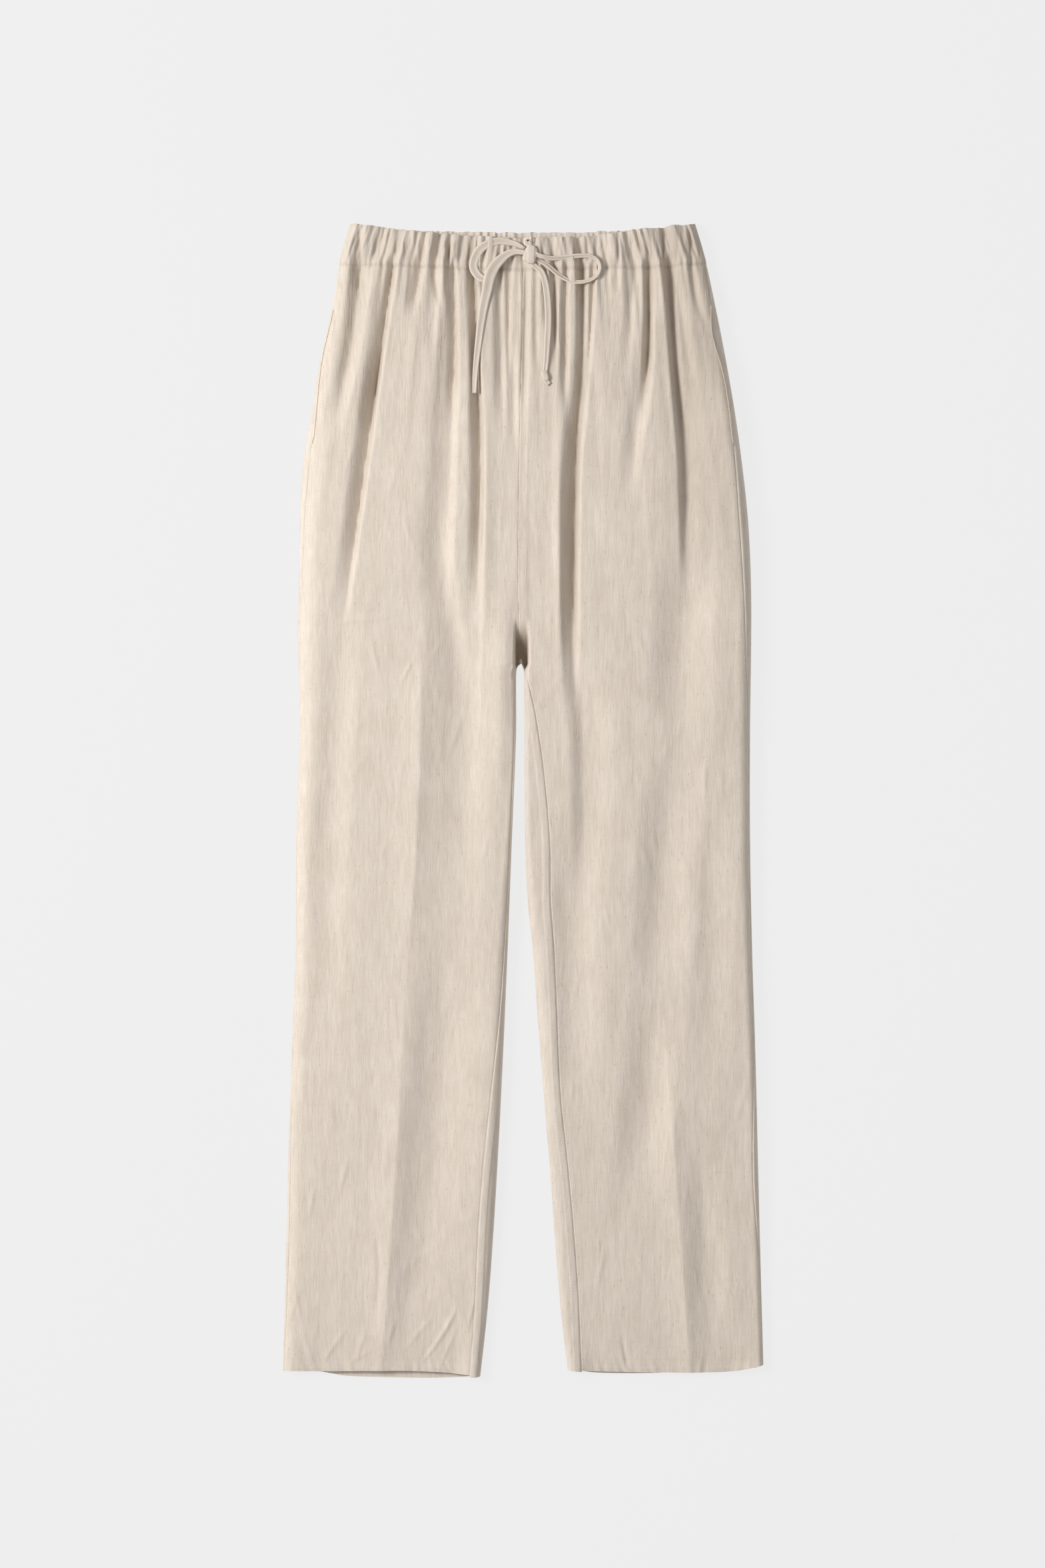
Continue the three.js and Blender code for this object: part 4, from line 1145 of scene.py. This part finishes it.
# The way each stretch lies, in metres. Each row is its X, its height along the garment, its height over the
# ground, the width of the tie there, and how far it has turned from lying flat, in degrees.
TIE_ROUTES = {
    "neck": (
        (0.0046, 1.0536, 0.0203, 0.0042, 0),
        (0.005, 1.0516, 0.0204, 0.0044, 0),
        (0.0056, 1.0494, 0.0204, 0.0046, 0),
    ),
    "loop_right": (
        (-0.0012, 1.0482, 0.0202, 0.0036, 0),
        (-0.0065, 1.051, 0.0196, 0.0046, 0),
        (-0.0149, 1.0532, 0.0189, 0.0058, 0),
        (-0.0223, 1.054, 0.0189, 0.0066, 0),
        (-0.031, 1.052, 0.0194, 0.0074, 0),
        (-0.0394, 1.0466, 0.0194, 0.0082, 0),
        (-0.0446, 1.0379, 0.0192, 0.0084, 0),
        (-0.0458, 1.0296, 0.0191, 0.0082, 0),
        (-0.0422, 1.0224, 0.0197, 0.0076, 0),
        (-0.0366, 1.0189, 0.0201, 0.0064, 0),
        (-0.0312, 1.02, 0.0201, 0.0052, 20),
        (-0.0286, 1.0244, 0.0198, 0.0048, 35),
        (-0.0256, 1.03, 0.0194, 0.0048, 35),
        (-0.0194, 1.037, 0.019, 0.0048, 30),
        (-0.0115, 1.042, 0.0191, 0.0046, 20),
        (-0.002, 1.0436, 0.0194, 0.0042, 10),
    ),
    "tail_right": (
        (0.0002, 1.043, 0.0224, 0.0044, 0),
        (-0.0065, 1.0438, 0.0219, 0.005, 0),
        (-0.013, 1.0422, 0.0217, 0.0066, 0),
        (-0.0206, 1.0368, 0.0217, 0.0088, 0),
        (-0.0272, 1.029, 0.022, 0.0102, 0),
        (-0.0314, 1.019, 0.0225, 0.0102, 0),
        (-0.0334, 1.008, 0.0224, 0.0094, 0),
        (-0.0356, 0.998, 0.0224, 0.0086, 0),
        (-0.0378, 0.986, 0.0227, 0.0078, 0),
        (-0.0412, 0.96, 0.0231, 0.0064, 0),
        (-0.0442, 0.932, 0.0224, 0.0052, 10),
        (-0.045, 0.913, 0.0222, 0.0042, 25),
    ),
    "loop_left": (
        (0.0132, 1.0408, 0.0226, 0.0042, 25),
        (0.0186, 1.0389, 0.022, 0.0044, 35),
        (0.0273, 1.0378, 0.0202, 0.0046, 35),
        (0.0409, 1.039, 0.019, 0.0046, 35),
        (0.0521, 1.0404, 0.0193, 0.0044, 35),
        (0.0614, 1.04, 0.0194, 0.0042, 40),
        (0.0686, 1.0362, 0.0192, 0.0042, 45),
        (0.0709, 1.0292, 0.0193, 0.0042, 45),
        (0.0676, 1.0214, 0.0198, 0.0042, 45),
        (0.0586, 1.0169, 0.0194, 0.0042, 40),
        (0.0471, 1.0163, 0.0188, 0.0044, 35),
        (0.0384, 1.0193, 0.0186, 0.0048, 35),
        (0.0298, 1.0252, 0.0192, 0.005, 30),
        (0.0224, 1.0316, 0.0194, 0.005, 30),
        (0.0136, 1.0364, 0.0194, 0.0044, 25),
    ),
    "tail_left": (
        (0.009, 1.0332, 0.0204, 0.0044, 0),
        (0.0118, 1.03, 0.0197, 0.005, 0),
        (0.0162, 1.0264, 0.0197, 0.0056, 0),
        (0.0196, 1.0184, 0.0203, 0.006, 0),
        (0.0216, 1.008, 0.0213, 0.0062, 0),
        (0.023, 0.992, 0.0226, 0.0062, 0),
        (0.0232, 0.976, 0.0232, 0.006, 0),
        (0.0223, 0.959, 0.0238, 0.0056, 0),
        (0.0214, 0.943, 0.0242, 0.005, 0),
        (0.0204, 0.9338, 0.0244, 0.0044, 0),
    ),
    "tip_left": (
        (0.0212, 0.9244, 0.0243, 0.004, 0),
        (0.0226, 0.9226, 0.0243, 0.0042, 0),
        (0.024, 0.9209, 0.0243, 0.0042, 0),
    ),
}

# How far each stretch goes on into the knot or the eyelet at its start and at its end, in metres.
TUCKS = {
    "neck": (0.0, 0.001),
    "loop_right": (0.0032, 0.0026),
    "tail_right": (0.0026, 0.0),
    "loop_left": (0.0018, 0.0018),
    "tail_left": (0.0018, 0.0014),
    "tip_left": (0.001, 0.0),
}


def smooth_line(rows):
    """A smooth line through a table's rows, resampled at even steps. Every column is carried along."""
    rows = np.array(rows, dtype=float)
    run = run_along(rows[:, :3])
    names = [str(i) for i in range(rows.shape[1])]
    columns = dict(zip(names, rows.T), run=run)
    at = np.linspace(0, run[-1], max(8, int(run[-1] / TIE_STEP)))
    return np.stack([read(columns, "run", name, at) for name in names], axis=1)


def tape(points, width, turn, thick):
    """The net of a flat tie along a line: a flattened tube, thicker along both of its edges."""
    ahead = np.gradient(points, axis=0)
    ahead /= np.linalg.norm(ahead, axis=1, keepdims=True)
    beside = np.cross([0.0, 0.0, 1.0], ahead)
    beside /= np.linalg.norm(beside, axis=1, keepdims=True)
    upward = np.cross(ahead, beside)
    turn = np.radians(turn)[:, None]
    flat = beside * np.cos(turn) + upward * np.sin(turn)
    out = upward * np.cos(turn) - beside * np.sin(turn)
    angle = np.linspace(0, 2 * np.pi, 28, endpoint=False)
    across = np.sign(np.cos(angle)) * np.abs(np.cos(angle)) ** 0.8
    bulge = np.sign(np.sin(angle)) * np.abs(np.sin(angle)) ** 0.7
    swell = 0.5 + 0.1 * np.abs(across) + 0.5 * np.exp(-(((np.abs(across) - 0.7) / 0.26) ** 2))
    net = (
        points[:, None, :]
        + flat[:, None, :] * (across * width[:, None] / 2)[..., None]
        + out[:, None, :] * (bulge * swell * thick / 2)[..., None]
    )
    return net, np.broadcast_to(across, net.shape[:2])


def tube_faces(rows, columns):
    """A closed tube's quads, and a fan of triangles at each end round a point of its own."""
    sides = grid_faces(rows, columns, closed=True)
    last = (rows - 1) * columns
    count = rows * columns
    ring = np.arange(columns)
    ahead = (ring + 1) % columns
    start = np.stack([np.full(columns, count), ahead, ring], axis=-1)
    end = np.stack([np.full(columns, count + 1), ring + last, ahead + last], axis=-1)
    return sides.tolist() + start.tolist() + end.tolist()


def with_centres(net):
    """A net's points, and then the middle of its first row and of its last."""
    return np.concatenate([net.reshape(-1, 3), net[0].mean(axis=0)[None], net[-1].mean(axis=0)[None]])


def tube_piece(name, net, finish, thread, shade=None):
    """A closed tube from a net whose columns go round it."""
    shade = None if shade is None else np.concatenate([shade.ravel(), [0, 0]])
    faces = tube_faces(*net.shape[:2])
    return piece(name, with_centres(net), faces, finish, with_centres(thread), shade)


def tucked_in(line, start, end):
    """A line with its ends carried on a little way, into the knots that hold them."""
    ahead = line[0] - line[1]
    first = line[0] + ahead * start / np.linalg.norm(ahead[:3])
    behind = line[-1] - line[-2]
    last = line[-1] + behind * end / np.linalg.norm(behind[:3])
    return np.concatenate([first[None]] * (start > 0) + [line] + [last[None]] * (end > 0))


def tie_stretch(name, rows):
    """One free stretch of the drawstring, and the line that it follows."""
    origin = [0, LENGTH * MM / 2, 0]
    line = smooth_line(rows)
    path = line[:, :3] - origin
    line = tucked_in(line, *TUCKS[name])
    points = line[:, :3] - origin
    net, across = tape(points, line[:, 3], line[:, 4], TIE_THICK)
    run = run_along(points)
    around = np.linspace(0, 2 * TIE_DIAMETER, net.shape[1])
    thread = np.stack(np.broadcast_arrays(around[None, :], run[:, None], 9.0), axis=-1)
    # Painted shade down the middle of the tie, sunk between its thicker edges.
    middle_painted_shade = 0.3 * np.clip(1 - (across / 0.62) ** 2, 0, 1) * (line[:, 3] / 0.009)[:, None]
    made = tube_piece(f"tie_{name}_tape", net, TIE_LINEN, thread, middle_painted_shade)
    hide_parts(f"tie_{name}")
    return made, path


def knot_piece(name, node, middle, across, along, up, turn, wraps):
    """A tight knot: a lump with the tie wrapped over it in raised bands."""
    rows, columns = 44, 64
    polar = np.linspace(0.02, np.pi - 0.02, rows)[:, None]
    round_ = np.linspace(0, 2 * np.pi, columns, endpoint=False)[None, :]
    x = np.sin(polar) * np.cos(round_)
    y = np.sin(polar) * np.sin(round_)
    z = np.cos(polar) * np.ones_like(round_)
    swell = np.ones_like(x)
    for direction, offset, width, rise in wraps:
        lean = math.radians(direction)
        away = x * math.cos(lean) + y * math.sin(lean) - offset
        swell = swell + rise * (0.5 + 0.5 * np.tanh((width - np.abs(away)) / 0.06))
    boxy = (np.abs(x) ** 3 + np.abs(y) ** 3 + np.abs(z) ** 3) ** (-1 / 3)
    swell = swell * (1 + (boxy - 1) * 0.75)
    local = np.stack([x * across, y * along, z * up], axis=-1) * swell[..., None]
    c, s = math.cos(turn), math.sin(turn)
    x, y, z = np.moveaxis(local, -1, 0)
    turned = np.stack([x * c - y * s, x * s + y * c, z], axis=-1)
    net = turned * MM + np.array([middle[0], middle[1] - LENGTH / 2, middle[2]]) * MM
    made = tube_piece(name, net, TIE_LINEN, net)
    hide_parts(node)
    return made


def eyelet():
    """A buttonhole-stitched eyelet: a rounded ring of close radial threads."""
    around, across = 168, 12
    angle = np.linspace(0, 2 * np.pi, around, endpoint=False)[:, None]
    bend = np.linspace(0, 2 * np.pi, across, endpoint=False)[None, :]
    threads = 1 + 0.09 * np.cos(angle * 30)
    square = (np.abs(np.cos(angle)) ** 3 + np.abs(np.sin(angle)) ** 3) ** (-1 / 3)
    middle = 1 - EYELET["rim"] / (2 * EYELET["across"])
    radial = middle + EYELET["rim"] / (2 * EYELET["across"]) * np.cos(bend)
    x = EYELET["x"] + EYELET["across"] * square * np.cos(angle) * radial
    height = EYELET["height"] + EYELET["along"] * square * np.sin(angle) * radial
    rise = EYELET["thick"] * np.sin(bend) * threads
    z = BAND_CROWN + 1.1 + rise + 0 * angle
    net = metres(x, height, z)
    faces = grid_faces(around + 1, across, closed=True) % (around * across)
    made = piece("eyelet_thread_ring", net.reshape(-1, 3), faces.tolist(), THREAD)
    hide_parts("drawstring_eyelet")


# ---------------------------------------------------------------- stage

GROUND = {"half": 4.0, "drop": 0.0004}
FILL = 0.42
LAMP = {"across": 1.1, "power": 74, "place": (-2.1, 0.55, 2.05), "aim": (2.1, -0.5, -2.05)}
CAMERA = {"lens": 85, "sensor": 36, "reach": 20, "place": (-0.0006, 0.0158, 3.443)}


def studio():
    """The ground, a broad lamp from the wearer's right, an even fill, and a long lens straight above."""
    half = GROUND["half"]
    corners = [(-half, -half), (half, -half), (half, half), (-half, half)]
    mesh = bpy.data.meshes.new("ground")
    mesh.from_pydata([(x, y, -GROUND["drop"]) for x, y in corners], [], [(0, 1, 2, 3)])
    mesh.materials.append(studio_ground())
    ground = bpy.data.objects.new("ground", mesh)
    bpy.context.collection.objects.link(ground)

    world = bpy.data.worlds.new("soft fill")
    world.use_nodes = True
    sky = world.node_tree.nodes["Background"]
    sky.inputs["Color"].default_value = (1, 1, 1, 1)
    sky.inputs["Strength"].default_value = FILL
    bpy.context.scene.world = world

    light = bpy.data.lights.new("broad lamp", "AREA")
    light.shape = "DISK"
    light.size = LAMP["across"]
    light.energy = LAMP["power"]
    lamp = bpy.data.objects.new("broad lamp", light)
    lamp.location = LAMP["place"]
    lamp.rotation_euler = Vector(LAMP["aim"]).to_track_quat("-Z", "Y").to_euler()
    bpy.context.collection.objects.link(lamp)

    lens = bpy.data.cameras.new("long lens")
    lens.lens = CAMERA["lens"]
    lens.sensor_width = CAMERA["sensor"]
    lens.clip_end = CAMERA["reach"]
    camera = bpy.data.objects.new("long lens", lens)
    camera.location = CAMERA["place"]
    bpy.context.collection.objects.link(camera)
    bpy.context.scene.camera = camera
    bpy.context.scene.view_settings.view_transform = "Standard"


# ---------------------------------------------------------------- the trousers

studio()

tie = {name: tie_stretch(name, rows) for name, rows in TIE_ROUTES.items()}
knot = knot_piece(
    "tie_knot_wrapped",
    "tie_knot",
    (6.6, 1041.2, 21.5),
    6.3,
    7.6,
    3,
    -0.35,
    [(20, 0.1, 0.42, 0.14), (100, -0.62, 0.2, 0.1), (95, 0.8, 0.14, 0.06)],
)
end_knot = knot_piece(
    "tie_end_knot_wrapped", "tie_end_knot", (20.2, 928.8, 25.1), 2.9, 5, 1.7, 0.2, [(60, 0, 0.4, 0.14)]
)


eyelet()

fronts = {hand: front_panel(hand) for hand in INWARD}
backs = {hand: back_panel(hand) for hand in INWARD}
bags = {hand: pocket_bag(hand) for hand in INWARD}
bands = {"front": front_band(), "back": back_band()}
for hand in INWARD:
    leg_stitching(hand)
centre_stitching()

for hand in INWARD:
    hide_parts(f"front_{hand}")
    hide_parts(f"back_{hand}")
    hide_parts(f"pocket_bag_{hand}")
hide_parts("waistband_front")
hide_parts("waistband_back")
